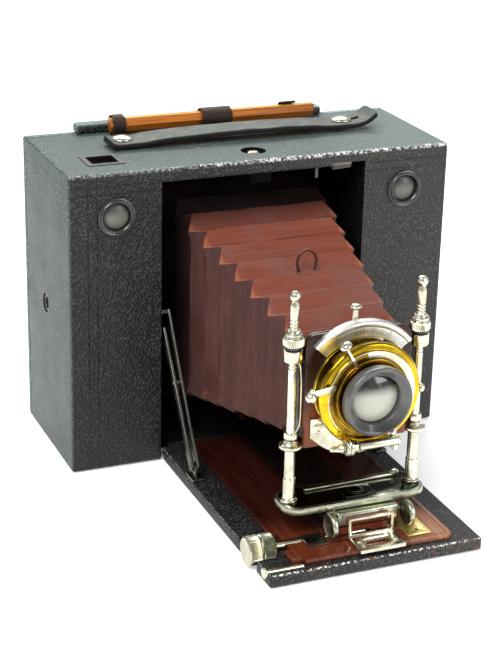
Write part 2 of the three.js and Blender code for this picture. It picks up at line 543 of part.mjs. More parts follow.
// ---- shutter --------------------------------------------------------------------------------
// Back plate with the speed scale's arc above and the air valve's cylinder below.
function shutterPlate() {
  const [back, front] = [BOARD_FRONT - GAP, BOARD_FRONT - 1.8];
  const disc = rod(SHUTTER.radius, front, back, "Y", [0, 0, AXIS_Z], 28);
  const apron = new THREE.Shape();
  apron.moveTo(-25.8, 72).lineTo(-25.8, 62).absarc(0, 82, 32, 1.25 * Math.PI, 1.75 * Math.PI, false);
  apron.lineTo(25.8, 62).lineTo(25.8, 72);
  const lower = pushed(apron, "Y", front, back, 8);
  const scale = pushed(sector(26.3, 34.8, 40, 137), "Y", -126.8, back, 12);
  const neck = block(-12, 12, front, back, AXIS_Z + 20, AXIS_Z + 31);
  const cylinder = rod(VALVE.radius, -7.5, VALVE.right, "X", [0, VALVE.y, VALVE.z], 12);
  const rib = join(block(11.5, 13.5, -142, back, 57.8, 59.6), block(11.5, 13.5, -142, -140, 59, 61.5));
  const lug = block(9, 13.8, -139.6, -137.9, 62, 68.2);
  const screw = turned([[0, -138], [1.8, -138], [1.8, -140.2], [1, -140.9], [0, -141]], "Y", [11.4, 0, 66.4], 12);
  const hole = rod(SHUTTER.bore + 0.4, -130, -120, "Y", [0, 0, AXIS_Z], 24);
  const bore = rod(1.5, -9, VALVE.right - 1, "X", [0, VALVE.y, VALVE.z], 12);
  add("shutter_plate", "nickel", cut(join(disc, lower, scale, neck, cylinder, rib, lug, screw), hole, bore));
}

function sector(inner, outer, from, to) {
  const s = new THREE.Shape();
  const [a, b] = [from, to].map(THREE.MathUtils.degToRad);
  s.absarc(0, AXIS_Z, outer, a, b, false);
  s.absarc(0, AXIS_Z, inner, b, a, true);
  return s;
}

function shutterHousing() {
  const { radius, flange, back, front, bore } = SHUTTER;
  const profile = [[bore, back], [radius, back], [radius, -132.8], [flange, -133.4], [flange, front + 2]];
  profile.push([flange - 1.2, front + 1], [flange - 3, front + 1], [flange - 3.6, front], [bore, front], [bore, back]);
  const drum = turned(profile, "Y", [0, 0, AXIS_Z], 32);
  const irisSlot = pushed(sector(20.5, 30, -46, 36), "Y", -129.3, -126.9, 8);
  const releasePin = rod(1.7, front - 1, front + 3, "Y", [RELEASE.x, 0, RELEASE.z], 16);
  add("shutter_housing", "brass", cut(drum, irisSlot, releasePin));
}

function speedLever() {
  const [back, front] = [SHUTTER.front - 1.3, SHUTTER.front - GAP];
  const hub = ring(17.6, 19.6, back, front, "Y", [0, 0, AXIS_Z], 24);
  const turn = THREE.MathUtils.degToRad(119);
  const [c, s] = [Math.cos(turn), Math.sin(turn)];
  const at = (r, w) => [r * c - w * s, AXIS_Z + r * s + w * c];
  const arm = pushed(outline([at(18.5, -1.2), at(31, -0.7), at(31, 0.7), at(18.5, 1.2)]), "Y", back, front);
  const profile = [[0, 30.3], [1, 30.3], [1.4, 31], [3, 31.5], [3.2, 32.4], [2.5, 33.8], [0, 34.3]];
  const knob = turned(profile, "Z", [0, 0, 0], 14).rotate([0, 90 - 119, 0]).translate([0, -138.4, AXIS_Z]);
  add("speed_lever", "nickel", join(hub, arm, knob));
}

function irisLever() {
  const blade = pushed(sector(21, 31, -10.5, -4.5), "Y", -129, -127.2, 4);
  const ball = turned([[0, 30], [1.4, 30.4], [2.1, 31.8], [1.4, 33.2], [0, 33.7]], "X", [0, -128.1, AXIS_Z - 4], 12);
  add("iris_lever", "nickel", join(blade, ball));
}

function releaseLever() {
  const { x, z } = RELEASE;
  const pivot = rod(1.4, -138.5, -135.2, "Y", [x, 0, z], 16);
  const arm = pushed(outline([[x + 1.3, z - 1.9], [x + 1.3, z + 1.6], [-31.4, z], [-31.4, z - 3]]), "Y", -138.6, -137.9);
  const profile = [[0, -141], [1.8, -140.6], [2.8, -139.2], [2.8, -137.4], [1.8, -135.9], [0, -135.5]];
  const ball = turned(profile, "Y", [-33, 0, z - 3.2], 16);
  add("release_lever", "nickel", join(pivot, arm, ball));
}

function valveNozzle() {
  const profile = [[0, -23], [1, -23], [2, -18], [2.4, -16.9], [1.5, -16.5], [1.5, -15.1], [4.3, -14.9]];
  profile.push([4.3, -11.3], [2.8, -10.8], [2.8, -8.7], [1.2, -8.5], [1.2, 12], [0, 12]);
  add("valve_nozzle", "nickel", turned(profile, "X", [0, VALVE.y, VALVE.z], 16));
}

function lens() {
  const { radius, bore, front } = BARREL;
  const barrel = [[bore, -116.4], [16, -116.4], [16, -118], [radius, -118.2], [radius, -141], [17.9, -141.6], [17.9, front + 1]];
  barrel.push([17, front], [15.6, front], [bore, front + 3.2], [bore, -116.4]);
  add("lens_barrel", "blackMetal", turned(barrel, "Y", [0, 0, AXIS_Z], 24));
  const glass = [[0, -143.7], [5, -143.3], [9, -142.3], [12.4, -140.8], [12.4, -137], [0, -137]];
  add("front_glass", "glass", turned(glass, "Y", [0, 0, AXIS_Z], 20));
  const rear = [[0, -122], [12.4, -122], [12.4, -118.4], [8, -117], [0, -116.4]];
  add("rear_glass", "glass", turned(rear, "Y", [0, 0, AXIS_Z], 20));
}

// ---- bellows --------------------------------------------------------------------------------
// Cross-section at a place along Y: half width, half height, and the cut of its corners.
function bellowsSection(y, sideInset, topInset, corner) {
  const along = (y - BELLOWS.front) / (BELLOWS.back - BELLOWS.front);
  const w = 28.4 + 18.6 * along + 6 * along ** 2 - sideInset;
  const h = 26.7 + 40 * along - topInset;
  const middle = 83.5 + 2.7 * along;
  const c = corner;
  const loop = [[-w + c, -h], [w - c, -h], [w, -h + c], [w, h - c], [w - c, h], [-w + c, h], [-w, h - c], [-w, -h + c]];
  return loop.map(([x, z]) => [x, y, middle + z]);
}

function bellows() {
  const { front, back, pleats, wall, fold } = BELLOWS;
  const count = 2 * pleats;
  const outer = [];
  const inner = [];
  for (let i = 0; i <= count; i++) {
    const y = front + ((back - front) * i) / count;
    const [side, top] = i % 2 ? [fold, 0] : [0, fold]; // the top folds out where the sides fold in
    outer.push(bellowsSection(y, side, top, 2));
    inner.push(bellowsSection(y, side + wall + 0.6, top + wall + 0.6, 2));
  }
  const rings = [...outer, ...inner.reverse()];
  const positions = rings.flat(2);
  const index = [];
  const sides = outer[0].length;
  for (let i = 0; i < rings.length; i++)
    for (let k = 0; k < sides; k++) {
      const a = i * sides + k;
      const b = i * sides + ((k + 1) % sides);
      const c = ((i + 1) % rings.length) * sides + k;
      const d = ((i + 1) % rings.length) * sides + ((k + 1) % sides);
      index.push(a, b, d, a, d, c);
    }
  const geometry = new THREE.BufferGeometry();
  geometry.setAttribute("position", new THREE.Float32BufferAttribute(positions, 3));
  geometry.setIndex(index);
  add("bellows", "redLeather", toSolid(geometry));
}

topBoard();
bottomBoard();
sideWalls();
frontPanels();
innerFrame();
backPanel();
rubyWindow();
spools();
windKey();
finders();
handleStrap();
pencilAndHolder();
bedRelease();
tripodBushes();
bedBoard();
bedPanel();
hingeRod();
struts();
strikerPlate();
pinionCover();
supportRod();
pinionShaft();
focusKnob();
focusTrack();
carriage();
pinchGrips();
shiftPlate();
shiftLever();
posts();
lensFrame();
clampNuts();
lensBoard();
boardCatch();
shutterPlate();
shutterHousing();
speedLever();
irisLever();
releaseLever();
valveNozzle();
lens();
bellows();

camera.position.y = -BODY.depth / 2;
const root = new THREE.Group();
root.add(camera);

export default root;
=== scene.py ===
"""The looks of a folding bellows camera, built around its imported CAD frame."""

import math

import bmesh
import bpy
from mathutils import Matrix, Vector, noise


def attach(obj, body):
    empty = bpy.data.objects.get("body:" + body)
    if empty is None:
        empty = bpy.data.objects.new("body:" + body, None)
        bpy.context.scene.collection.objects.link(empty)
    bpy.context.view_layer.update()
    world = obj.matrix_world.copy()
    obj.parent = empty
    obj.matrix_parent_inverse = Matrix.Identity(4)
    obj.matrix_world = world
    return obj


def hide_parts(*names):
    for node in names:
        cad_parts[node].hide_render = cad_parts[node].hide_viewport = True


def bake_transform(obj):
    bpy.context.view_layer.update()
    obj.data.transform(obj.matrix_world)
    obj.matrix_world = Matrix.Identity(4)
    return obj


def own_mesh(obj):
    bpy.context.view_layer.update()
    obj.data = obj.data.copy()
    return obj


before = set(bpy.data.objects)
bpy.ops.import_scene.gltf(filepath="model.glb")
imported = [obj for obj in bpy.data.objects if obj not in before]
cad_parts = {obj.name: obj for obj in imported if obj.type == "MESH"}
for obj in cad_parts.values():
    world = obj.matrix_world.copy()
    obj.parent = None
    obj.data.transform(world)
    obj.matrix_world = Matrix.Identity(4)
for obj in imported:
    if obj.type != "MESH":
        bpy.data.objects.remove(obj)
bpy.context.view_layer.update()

# Lengths are in millimetres, from the middle of the body's front face and from the table.
# The frame's own origin is midway through the body, HALF_DEPTH behind that face.
SIDES = (("left", -1), ("right", 1))
HALF_DEPTH = 43.5
BODY = (-111, 111, 0, 82, 0, 169)  # x, y and z from and to, like the next one
BED = (-58.5, 58.5, -154.4, 6.8, 0, 7)
OPENING = 59.5  # half its width
LINTEL = 161.7
FINDER = (84.5, 145)  # x, z
FINDER_WINDOW = (18, 32)  # y from and to
BUTTON = (0, 18.4, 0)
SIDE_BUSH = (0, 46, 84)
BASE_BUSH = (0, 25, 0)
RUBY_AT = (0, 0, 84.5)
KEY_AT = (83, 50, 0)
HANDLE_Y = 47
PENCIL_AXIS = (72, 175)  # y, z, and so are the next three
PINION = (-129, 8.2)
GRIP_PIN = (-129, 18)
VALVE = (-141, 62.7)
POST = (34.3, -119)  # x, y
RELEASE = (-21.2, 94.2)  # x, z
AXIS_Z = 87  # the lens's
AXIS = (0, 0, AXIS_Z)
BARREL = 17.6  # its radius, inside the shutter
BELLOWS_FRONT, BELLOWS_BACK, PLEATS = -115.7, 68, 11
BELLOWS_LENGTH = BELLOWS_BACK - BELLOWS_FRONT
PITCH = BELLOWS_LENGTH / PLEATS
NOSE_HALF, FLARE, BOW = 28.2, 18.6, 6  # its half width grows from the first by the others
FOLD = 4.6  # how deep the pleats are
TIP = 1.5  # how far their corners stick out
SKIN = 0.9


# ---- shapes: each returns a bmesh in millimetres ---------------------------------------------
def solid(r, low, high):
    """The profile of a plain cylinder."""
    return [(0, low), (r, low), (r, high), (0, high)]


def tube(inner, outer, low, high):
    """The profile of a plain ring."""
    return [(inner, low), (outer, low), (outer, high), (inner, high)]


def bridged(bm, rings):
    """Adds the faces between rings of vertices that match."""
    for a, b in zip(rings, rings[1:]):
        for k in range(len(a)):
            m = (k + 1) % len(a)
            bm.faces.new((a[k], a[m], b[m], b[k]))


def divided(corners, counts):
    """A closed outline, with each of its sides in a number of steps."""
    loop = []
    for (a, b), (c, d), steps in zip(corners, corners[1:] + corners[:1], counts):
        loop += [(a + (c - a) * k / steps, b + (d - b) * k / steps) for k in range(steps)]
    return loop


def headings(path):
    """Which way a path runs at each of its points."""
    return [(b - a).normalized() for a, b in zip([path[0]] + path, path[1:] + [path[-1]])]


def softened(profile, size, closed):
    """The profile with its corners rounded off."""
    points = [Vector(p) for p in profile]
    out = []
    for i, p in enumerate(points):
        if not closed and i in (0, len(points) - 1):
            out.append(p)
            continue
        back = points[i - 1] - p
        ahead = points[(i + 1) % len(points)] - p
        cut = min(size, 0.4 * back.length, 0.4 * ahead.length)
        if cut < 0.02 or back.angle(ahead) > math.radians(158):
            out.append(p)
            continue
        start = p + back.normalized() * cut
        end = p + ahead.normalized() * cut
        out += [start, (start + 2 * p + end) / 4, end]
    return [tuple(p) for p in out]


def lathe(profile, along, at=(0, 0, 0), segments=48, soft=0.25, ridges=None, sweep=None):
    """Turns a (radius, distance) profile about a line along X, Y or Z.

    Ridges are (from, to, depth), and a sweep is two angles in degrees.
    """
    closed = profile[0][0] > 1e-6
    points = softened(profile, soft, closed)
    start, end = (math.radians(a) for a in sweep or (0, 360))
    steps = segments + 1 if sweep else segments
    bm = bmesh.new()

    def vertex(r, d, k):
        if ridges and ridges[0] <= d <= ridges[1] and k % 2:
            r -= ridges[2]
        a = start + (end - start) * k / segments
        u, v = r * math.cos(a), r * math.sin(a)
        place = {"X": (d, u, v), "Y": (u, d, v), "Z": (u, v, d)}[along]
        return bm.verts.new(Vector(at) + Vector(place))

    rings = [[vertex(r, d, k) for k in range(steps if r > 1e-6 else 1)] for r, d in points]
    pairs = list(zip(rings, rings[1:]))
    if closed:
        pairs.append((rings[-1], rings[0]))
    for a, b in pairs:
        for k in range(segments):
            m = (k + 1) % steps
            if len(a) > 1 and len(b) > 1:
                bm.faces.new((a[k], a[m], b[m], b[k]))
            elif len(a) > 1:
                bm.faces.new((a[k], a[m], b[0]))
            elif len(b) > 1:
                bm.faces.new((a[0], b[m], b[k]))
    if sweep:
        bm.faces.new([r[0] for r in rings])
        bm.faces.new([r[-1] for r in rings])
    return bm


def block(x0, x1, y0, y1, z0, z1, edge=0.3, steps=2):
    """A box with its edges rounded off."""
    bm = bmesh.new()
    bmesh.ops.create_cube(bm, size=1)
    bmesh.ops.scale(bm, vec=(x1 - x0, y1 - y0, z1 - z0), verts=bm.verts)
    bmesh.ops.translate(bm, vec=((x0 + x1) / 2, (y0 + y1) / 2, (z0 + z1) / 2), verts=bm.verts)
    if edge:
        bmesh.ops.bevel(bm, geom=bm.edges[:], offset=edge, segments=steps, profile=0.5, affect="EDGES")
    return bm


def prism(loops, along, low, high, edge=0.25):
    """An outline, with holes after it, given a thickness. Its points are (y, z), (x, z) or (x, y)."""
    curve = bpy.data.curves.new("outline", "CURVE")
    curve.dimensions = "2D"
    curve.fill_mode = "BOTH"
    curve.extrude = (high - low) / 2 - edge
    curve.bevel_depth = edge
    curve.bevel_resolution = 1
    curve.offset = -edge
    for loop in loops:
        spline = curve.splines.new("POLY")
        spline.points.add(len(loop) - 1)
        for point, (a, b) in zip(spline.points, loop):
            point.co = (a, b, 0, 1)
        spline.use_cyclic_u = True
    holder = bpy.data.objects.new("outline", curve)
    mesh = bpy.data.meshes.new_from_object(holder)
    bpy.data.objects.remove(holder)
    bm = bmesh.new()
    bm.from_mesh(mesh)
    middle = (low + high) / 2
    for v in bm.verts:
        a, b, c = v.co[0], v.co[1], v.co[2] + middle
        v.co = {"X": (c, a, b), "Y": (a, c, b), "Z": (a, b, c)}[along]
    bmesh.ops.remove_doubles(bm, verts=bm.verts, dist=0.002)
    return bm


def span(side, a, b):
    """From and to in x, of what lies between two distances out, on the left or the right."""
    return sorted((side * a, side * b))


def arc(x, y, r, start, end, steps=8):
    """Points along an arc, whose angles are in degrees."""
    angles = [math.radians(start + (end - start) * k / steps) for k in range(steps + 1)]
    return [(x + r * math.cos(a), y + r * math.sin(a)) for a in angles]


def circle(x, y, r, steps):
    return arc(x, y, r, 0, 360, steps)[:-1]


def rectangle(x0, x1, y0, y1, r=0.01, steps=6):
    corners = ((x1 - r, y0 + r, -90), (x1 - r, y1 - r, 0), (x0 + r, y1 - r, 90), (x0 + r, y0 + r, 180))
    return [p for x, y, a in corners for p in arc(x, y, r, a, a + 90, steps)]


def bar(a, b, half):
    """A flat bar's outline between two points, with round ends."""
    turn = math.degrees(math.atan2(b[1] - a[1], b[0] - a[0]))
    return arc(*a, half, turn + 90, turn + 270) + arc(*b, half, turn - 90, turn + 90)


def ring_sector(inner, outer, start, end, steps=20):
    """Part of a flat ring about the lens axis, seen from the front."""
    return arc(0, AXIS_Z, outer, start, end, steps) + arc(0, AXIS_Z, inner, end, start, steps)


def rope(points, radius, sides=10):
    """A round wire through points."""
    bm = bmesh.new()
    path = [Vector(p) for p in points]
    turns = [2 * math.pi * k / sides for k in range(sides)]
    side = None
    rings = []
    for p, ahead in zip(path, headings(path)):
        side = side - side.dot(ahead) * ahead if side else ahead.orthogonal()
        side.normalize()
        up = ahead.cross(side)
        rings.append([bm.verts.new(p + radius * (math.cos(t) * side + math.sin(t) * up)) for t in turns])
    bridged(bm, rings)
    bm.faces.new(rings[0])
    bm.faces.new(rings[-1])
    return bm


def spline(points, steps=8):
    """A smooth path through points."""
    path = [Vector(p) for p in points]
    path = [2 * path[0] - path[1], *path, 2 * path[-1] - path[-2]]
    out = []
    for a, b, c, d in zip(path, path[1:], path[2:], path[3:]):
        for k in range(steps):
            t = k / steps
            out.append(0.5 * (2 * b + (c - a) * t + (2 * a - 5 * b + 4 * c - d) * t**2
                              + (3 * b - a - 3 * c + d) * t**3))
    return out + [path[-2]]


def merged(*parts):
    """Several shapes in one mesh. A part given as (shape, number) takes that material slot."""
    whole = bmesh.new()
    for part in parts:
        bm, index = part if isinstance(part, tuple) else (part, 0)
        bmesh.ops.recalc_face_normals(bm, faces=bm.faces)
        for face in bm.faces:
            face.material_index = index
        mesh = bpy.data.meshes.new("part")
        bm.to_mesh(mesh)
        bm.free()
        whole.from_mesh(mesh)
        bpy.data.meshes.remove(mesh)
    return whole


def temporary(bm):
    """An object to cut with or to be cut, removed after that."""
    bmesh.ops.recalc_face_normals(bm, faces=bm.faces)
    mesh = bpy.data.meshes.new("temporary")
    bm.to_mesh(mesh)
    bm.free()
    obj = bpy.data.objects.new("temporary", mesh)
    bpy.context.scene.collection.objects.link(obj)
    return obj


def carved(bm, *cutters):
    """A shape with others cut out of it."""
    base = temporary(bm)
    tools = [temporary(c) for c in cutters]
    for tool in tools:
        cut = base.modifiers.new("cut", "BOOLEAN")
        cut.operation = "DIFFERENCE"
        cut.solver = "EXACT"
        cut.object = tool
    evaluated = base.evaluated_get(bpy.context.evaluated_depsgraph_get())
    mesh = bpy.data.meshes.new_from_object(evaluated)
    out = bmesh.new()
    out.from_mesh(mesh)
    for obj in [base, *tools]:
        bpy.data.objects.remove(obj)
    return out


def publish(name, bm, body, slot, looks, stands_for=(), sharp=38, across=None):
    """Makes a piece of a shape. It rides on its body or, given across, is left in the world frame on no
    body.
    """
    bmesh.ops.remove_doubles(bm, verts=bm.verts, dist=0.001)
    bmesh.ops.recalc_face_normals(bm, faces=bm.faces)
    bmesh.ops.translate(bm, vec=(0, -HALF_DEPTH, 0), verts=bm.verts)
    bmesh.ops.scale(bm, vec=(0.001, 0.001, 0.001), verts=bm.verts)
    mesh = bpy.data.meshes.new(name)
    bm.to_mesh(mesh)
    bm.free()
    mesh.shade_smooth()
    mesh.set_sharp_from_angle(angle=math.radians(sharp))
    obj = bpy.data.objects.new(name, mesh)
    bpy.context.scene.collection.objects.link(obj)
    for look in looks if isinstance(looks, list) else [looks]:
        mesh.materials.append(look)
    if across:
        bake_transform(obj)
    else:
        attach(obj, body)
    if stands_for:
        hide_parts(*stands_for)
    return obj


def finished(node, bm, body, slot, looks, **more):
    """A piece that stands for one CAD node."""
    return publish(node + "_finished", bm, body, slot, looks, (node,), **more)


# ---- materials -------------------------------------------------------------------------------
class Look:
    """A node material whose pattern sits in the object's own frame, in millimetres."""

    def __init__(self, name, **sockets):
        self.material = bpy.data.materials.new(name)
        self.material.use_nodes = True
        self.tree = self.material.node_tree
        self.shader = self.tree.nodes["Principled BSDF"]
        for key, value in sockets.items():
            self.feed(self.shader.inputs[key.replace("_", " ")], value)
        coordinates = self.node("TexCoord", out="Object")
        self.mm = self.node("VectorMath", operation="SCALE", inputs={0: coordinates, 3: 1000})
        split = self.node("SeparateXYZ", inputs={0: self.mm}, out=None)
        self.x, self.y, self.z = split.outputs

    def feed(self, socket, value):
        if isinstance(value, bpy.types.NodeSocket):
            self.tree.links.new(value, socket)
        elif hasattr(value, "__len__") and len(value) == 3 and socket.type == "RGBA":
            socket.default_value = (*value, 1)
        else:
            socket.default_value = value

    def node(self, kind, inputs=None, out=0, **settings):
        made = self.tree.nodes.new("ShaderNode" + kind)
        for key, value in settings.items():
            setattr(made, key, value)
        for key, value in (inputs or {}).items():
            self.feed(made.inputs[key], value)
        return made if out is None else made.outputs[out]

    def math(self, operation, a, b=0.0):
        return self.node("Math", operation=operation, inputs={0: a, 1: b})

    def add(self, a, b):
        return self.math("ADD", a, b)

    def minus(self, a, b):
        return self.math("SUBTRACT", a, b)

    def times(self, a, b):
        return self.math("MULTIPLY", a, b)

    def most(self, a, b):
        return self.math("MAXIMUM", a, b)

    def stretched(self, x, y, z):
        return self.node("VectorMath", operation="MULTIPLY", inputs={0: self.mm, 1: (x, y, z)})

    def noise(self, scale, detail=3, rough=0.55, vector=None):
        sockets = {"Vector": vector or self.mm, "Scale": scale, "Detail": detail, "Roughness": rough}
        return self.node("TexNoise", inputs=sockets)

    def between(self, value, low, high, to_low=0.0, to_high=1.0):
        sockets = {0: value, 1: low, 2: high, 3: to_low, 4: to_high}
        return self.node("MapRange", interpolation_type="SMOOTHSTEP", inputs=sockets)

    def mix(self, factor, a, b):
        return self.node("Mix", data_type="RGBA", inputs={0: factor, 6: a, 7: b}, out=2)

    def bump(self, height, depth, strength):
        """A relief. Its depth is in millimetres."""
        sockets = {"Height": height, "Distance": depth / 1000, "Strength": strength}
        return self.node("Bump", inputs=sockets)

    def facing(self, axis, low, high):
        """1 on faces turned towards an axis, such as "Z", and 0 on those turned away."""
        way = self.node("NewGeometry", out="True Normal")
        split = self.node("SeparateXYZ", inputs={0: way}, out=axis)
        return self.between(split, low, high)

    def use(self, colour, roughness, normal=None):
        """Sets what the surface looks like, and gives its material."""
        self.feed(self.shader.inputs["Base Color"], colour)
        self.feed(self.shader.inputs["Roughness"], roughness)
        if normal:
            self.feed(self.shader.inputs["Normal"], normal)
        return self.material

    def near(self, value, place, width):
        """1 where a value is close to a place, 0 further off."""
        off = self.math("ABSOLUTE", self.minus(value, place))
        return self.between(off, width * 0.4, width, 1.0, 0.0)

    def edge(self, a, b, width):
        """1 along the edge where two distances to faces are both small."""
        return self.between(self.most(a, b), width * 0.3, width, 1.0, 0.0)


def scaled(colour, k):
    return [c * k for c in colour]


def pebbles(look, scale):
    """Rounded bumps, 1 at their tops: those of a pressed leather grain."""
    warp = look.node("TexNoise", inputs={"Vector": look.mm, "Scale": 0.5}, out=1)
    sockets = {0: warp, 1: (0.8, 0.8, 0.8), 2: look.mm}
    moved = look.node("VectorMath", operation="MULTIPLY_ADD", inputs=sockets)
    cells = look.node("TexVoronoi", feature="F1", inputs={"Vector": moved, "Scale": scale})
    return look.between(cells, 0.1, 0.68, 1.0, 0.0)


def cover_leather(name, edges=None, creases=None, rust=False, tone=1.0, painted_sheen=1.0):
    """Black grained leather, painted darker to the left, with a painted grey sheen where it faces up or
    left, and rubbed specks painted near white as glints along its edges.
    """
    look = Look(name, Specular_IOR_Level=0.38)
    grain = pebbles(look, 0.72)
    fine = look.noise(1.9, 4, 0.6)
    patches = look.noise(0.045, 4, 0.6)
    height = look.add(look.times(fine, 0.25), grain)
    # The pebble tops are painted lighter, in patches: partly the grain's own tone, partly painted
    # highlight.
    highs = look.between(grain, 0.22, 0.85)
    amount = look.times(highs, look.between(patches, 0.3, 0.7, 0.35, 1.0))
    black = [scaled(c, tone) for c in ((0.003, 0.003, 0.0035), (0.042, 0.042, 0.04))]
    lit_right = [scaled(c, tone) for c in ((0.014, 0.013, 0.012), (0.084, 0.079, 0.07))]
    # Painted light and shade: the cover is painted darker towards the left and lighter towards the
    # right.
    rightwards = look.between(look.x, -60, 60, 0.0, 0.9)
    colour = look.mix(rightwards, look.mix(amount, *black), look.mix(amount, *lit_right))
    # Painted sheen: faces turned up or left are painted pale grey-green, more so towards the right and
    # on the pebble tops.
    if painted_sheen:
        pale = scaled((0.15, 0.2, 0.183), painted_sheen)
        lightened = look.add(look.times(amount, 0.8), look.between(look.x, 20, 105, 0.27, 0.58))
        lightened = look.mix(lightened, (0.022, 0.03, 0.028), pale)
        left = look.times(look.facing("X", -0.3, -0.8), 0.68)
        colour = look.mix(look.most(look.facing("Z", 0.4, 0.9), left), colour, lightened)
    rough = look.between(patches, 0.25, 0.75, 0.4, 0.58)
    if creases:
        height = look.minus(height, look.times(creases(look), 3))
        bare = look.times(look.near(look.x, 45.7, 8.5), look.between(look.z, 163.4, 163.0))
        colour = look.mix(look.times(bare, 0.9), colour, (0.17, 0.14, 0.13))
    # Rubbed specks along the edges, painted near white as glints.
    if edges:
        colour = look.mix(edges(look), colour, (0.82, 0.8, 0.76))
    if rust:
        spots = look.between(look.noise(0.11, 5, 0.65), 0.6, 0.68)
        place = look.times(spots, look.between(look.y, -193, -197))
        colour = look.mix(place, colour, (0.12, 0.045, 0.022))
    return look.use(colour, rough, look.bump(height, 0.45, 0.9))


def body_edges(look):
    """Where the body's cover has rubbed specks painted near white as glints: its upper front edge most
    of all.
    """
    front = look.add(look.y, HALF_DEPTH)
    side = look.minus(BODY[1], look.math("ABSOLUTE", look.x))
    top = look.minus(BODY[5], look.z)
    specks = look.between(look.noise(0.75, 3, 0.7), 0.47, 0.57)
    few = look.between(look.noise(0.85, 3, 0.7), 0.62, 0.72)
    patchy = look.between(look.noise(0.03, 2), 0.35, 0.6, 0.6, 1.0)
    dense = look.times(patchy, look.between(look.x, -95, 10, 0.25, 1.0))
    upper = look.times(look.times(look.edge(front, top, 2.3), specks), dense)
    others = look.most(look.edge(front, side, 1.5), look.edge(side, top, 1.5))
    return look.most(upper, look.times(look.times(others, few), 0.3))


def body_creases(look):
    """Fold lines of the cover: two up the left front, two round the top."""
    left = look.most(look.near(look.x, -100.2, 0.5), look.near(look.x, -95.1, 0.5))
    on_front = look.between(look.y, -42.5, -41.5, 1.0, 0.0)
    up = look.times(left, on_front)
    round_top = look.most(look.near(look.z, 161.8, 0.5), look.near(look.z, 157.2, 0.45))
    return look.most(up, round_top)


def bed_edges(look):
    """Where the bed's cover has rubbed specks painted near white as glints: its upper front edge, and
    less along its sides.
    """
    front = look.add(look.y, HALF_DEPTH - BED[2])
    side = look.minus(BED[1], look.math("ABSOLUTE", look.x))
    top = look.minus(BED[5], look.z)
    specks = look.between(look.noise(0.7, 3, 0.7), 0.48, 0.58)
    edges = look.most(look.edge(front, top, 1.2), look.times(look.edge(side, top, 1.0), 0.3))
    return look.times(edges, specks)


def plain_leather(name, dark, light):
    """Smooth leather, with a painted grey sheen where it faces up."""
    look = Look(name, Specular_IOR_Level=0.22)
    worn = look.noise(0.14, 5, 0.65)
    grain = look.noise(1.44, 4, 0.6)
    # Painted sheen: faces turned up are painted the lighter colour, patchily.
    top = look.times(look.facing("Z", 0.3, 0.9), look.between(worn, 0.35, 0.7, 0.6, 1.0))
    colour = look.mix(top, dark, light)
    height = look.add(grain, look.times(worn, 1.5))
    return look.use(colour, look.between(grain, 0.3, 0.7, 0.48, 0.7), look.bump(height, 0.15, 0.6))


def metal(name, bright, dull, rough, grime=0.35, brushed=None, marks=None, top_darkening=0.0,
          ink=(0.03, 0.03, 0.03)):
    """Plated or lacquered metal, clouded and spotted with age, and, where asked, darker above the lens
    axis towards the left.
    """
    look = Look(name, Metallic=1.0)
    clouds = look.noise(0.09, 5, 0.6)
    spots = look.between(look.noise(0.55, 4, 0.7), 0.62, 0.72, 0.0, grime)
    colour = look.mix(look.between(clouds, 0.38, 0.68), bright, dull)
    colour = look.mix(spots, colour, scaled(dull, 0.35))
    # Darker above the lens axis, more so towards the left.
    if top_darkening:
        high = look.between(look.z, AXIS_Z - 2, AXIS_Z + 16)
        left = look.between(look.x, 20, 2, 0.35, 1.0)
        amount = look.times(look.times(high, left), top_darkening)
        colour = look.mix(amount, colour, scaled(dull, 0.25))
    lines = look.noise(1.0, 3, 0.6, look.stretched(*(brushed or (2.5, 2.5, 2.5))))
    roughness = look.between(clouds, 0.3, 0.7, rough * 0.7, rough * 1.5)
    height = look.minus(lines, look.times(spots, 0.6))
    if marks:
        mark = marks(look)
        colour = look.mix(mark, colour, ink)
        look.feed(look.shader.inputs["Metallic"], look.minus(1, mark))
    return look.use(colour, roughness, look.bump(height, 0.02, 0.35))


def wooden_end(look):
    """The front end of the track, faced with wood."""
    return look.between(look.y, -176, -176.6)


def scale_marks(look):
    """A dial's division lines, in the band along the arc's inner edge, on its front."""
    up = look.minus(look.z, AXIS_Z)
    angle = look.math("ARCTAN2", look.x, up)
    out = look.math("POWER", look.add(look.math("POWER", look.x, 2), look.math("POWER", up, 2)), 0.5)
    across = look.math("PINGPONG", look.times(angle, 30), 0.5)
    long_across = look.math("PINGPONG", look.times(angle, 6), 0.5)
    short = look.times(look.between(across, 0.12, 0.2, 1.0, 0.0), look.near(out, 29.2, 1.7))
    tall = look.times(look.between(long_across, 0.03, 0.045, 1.0, 0.0), look.near(out, 29.4, 2.6))
    on_scale = look.between(up, 8, 12)
    return look.times(look.most(short, tall), on_scale)


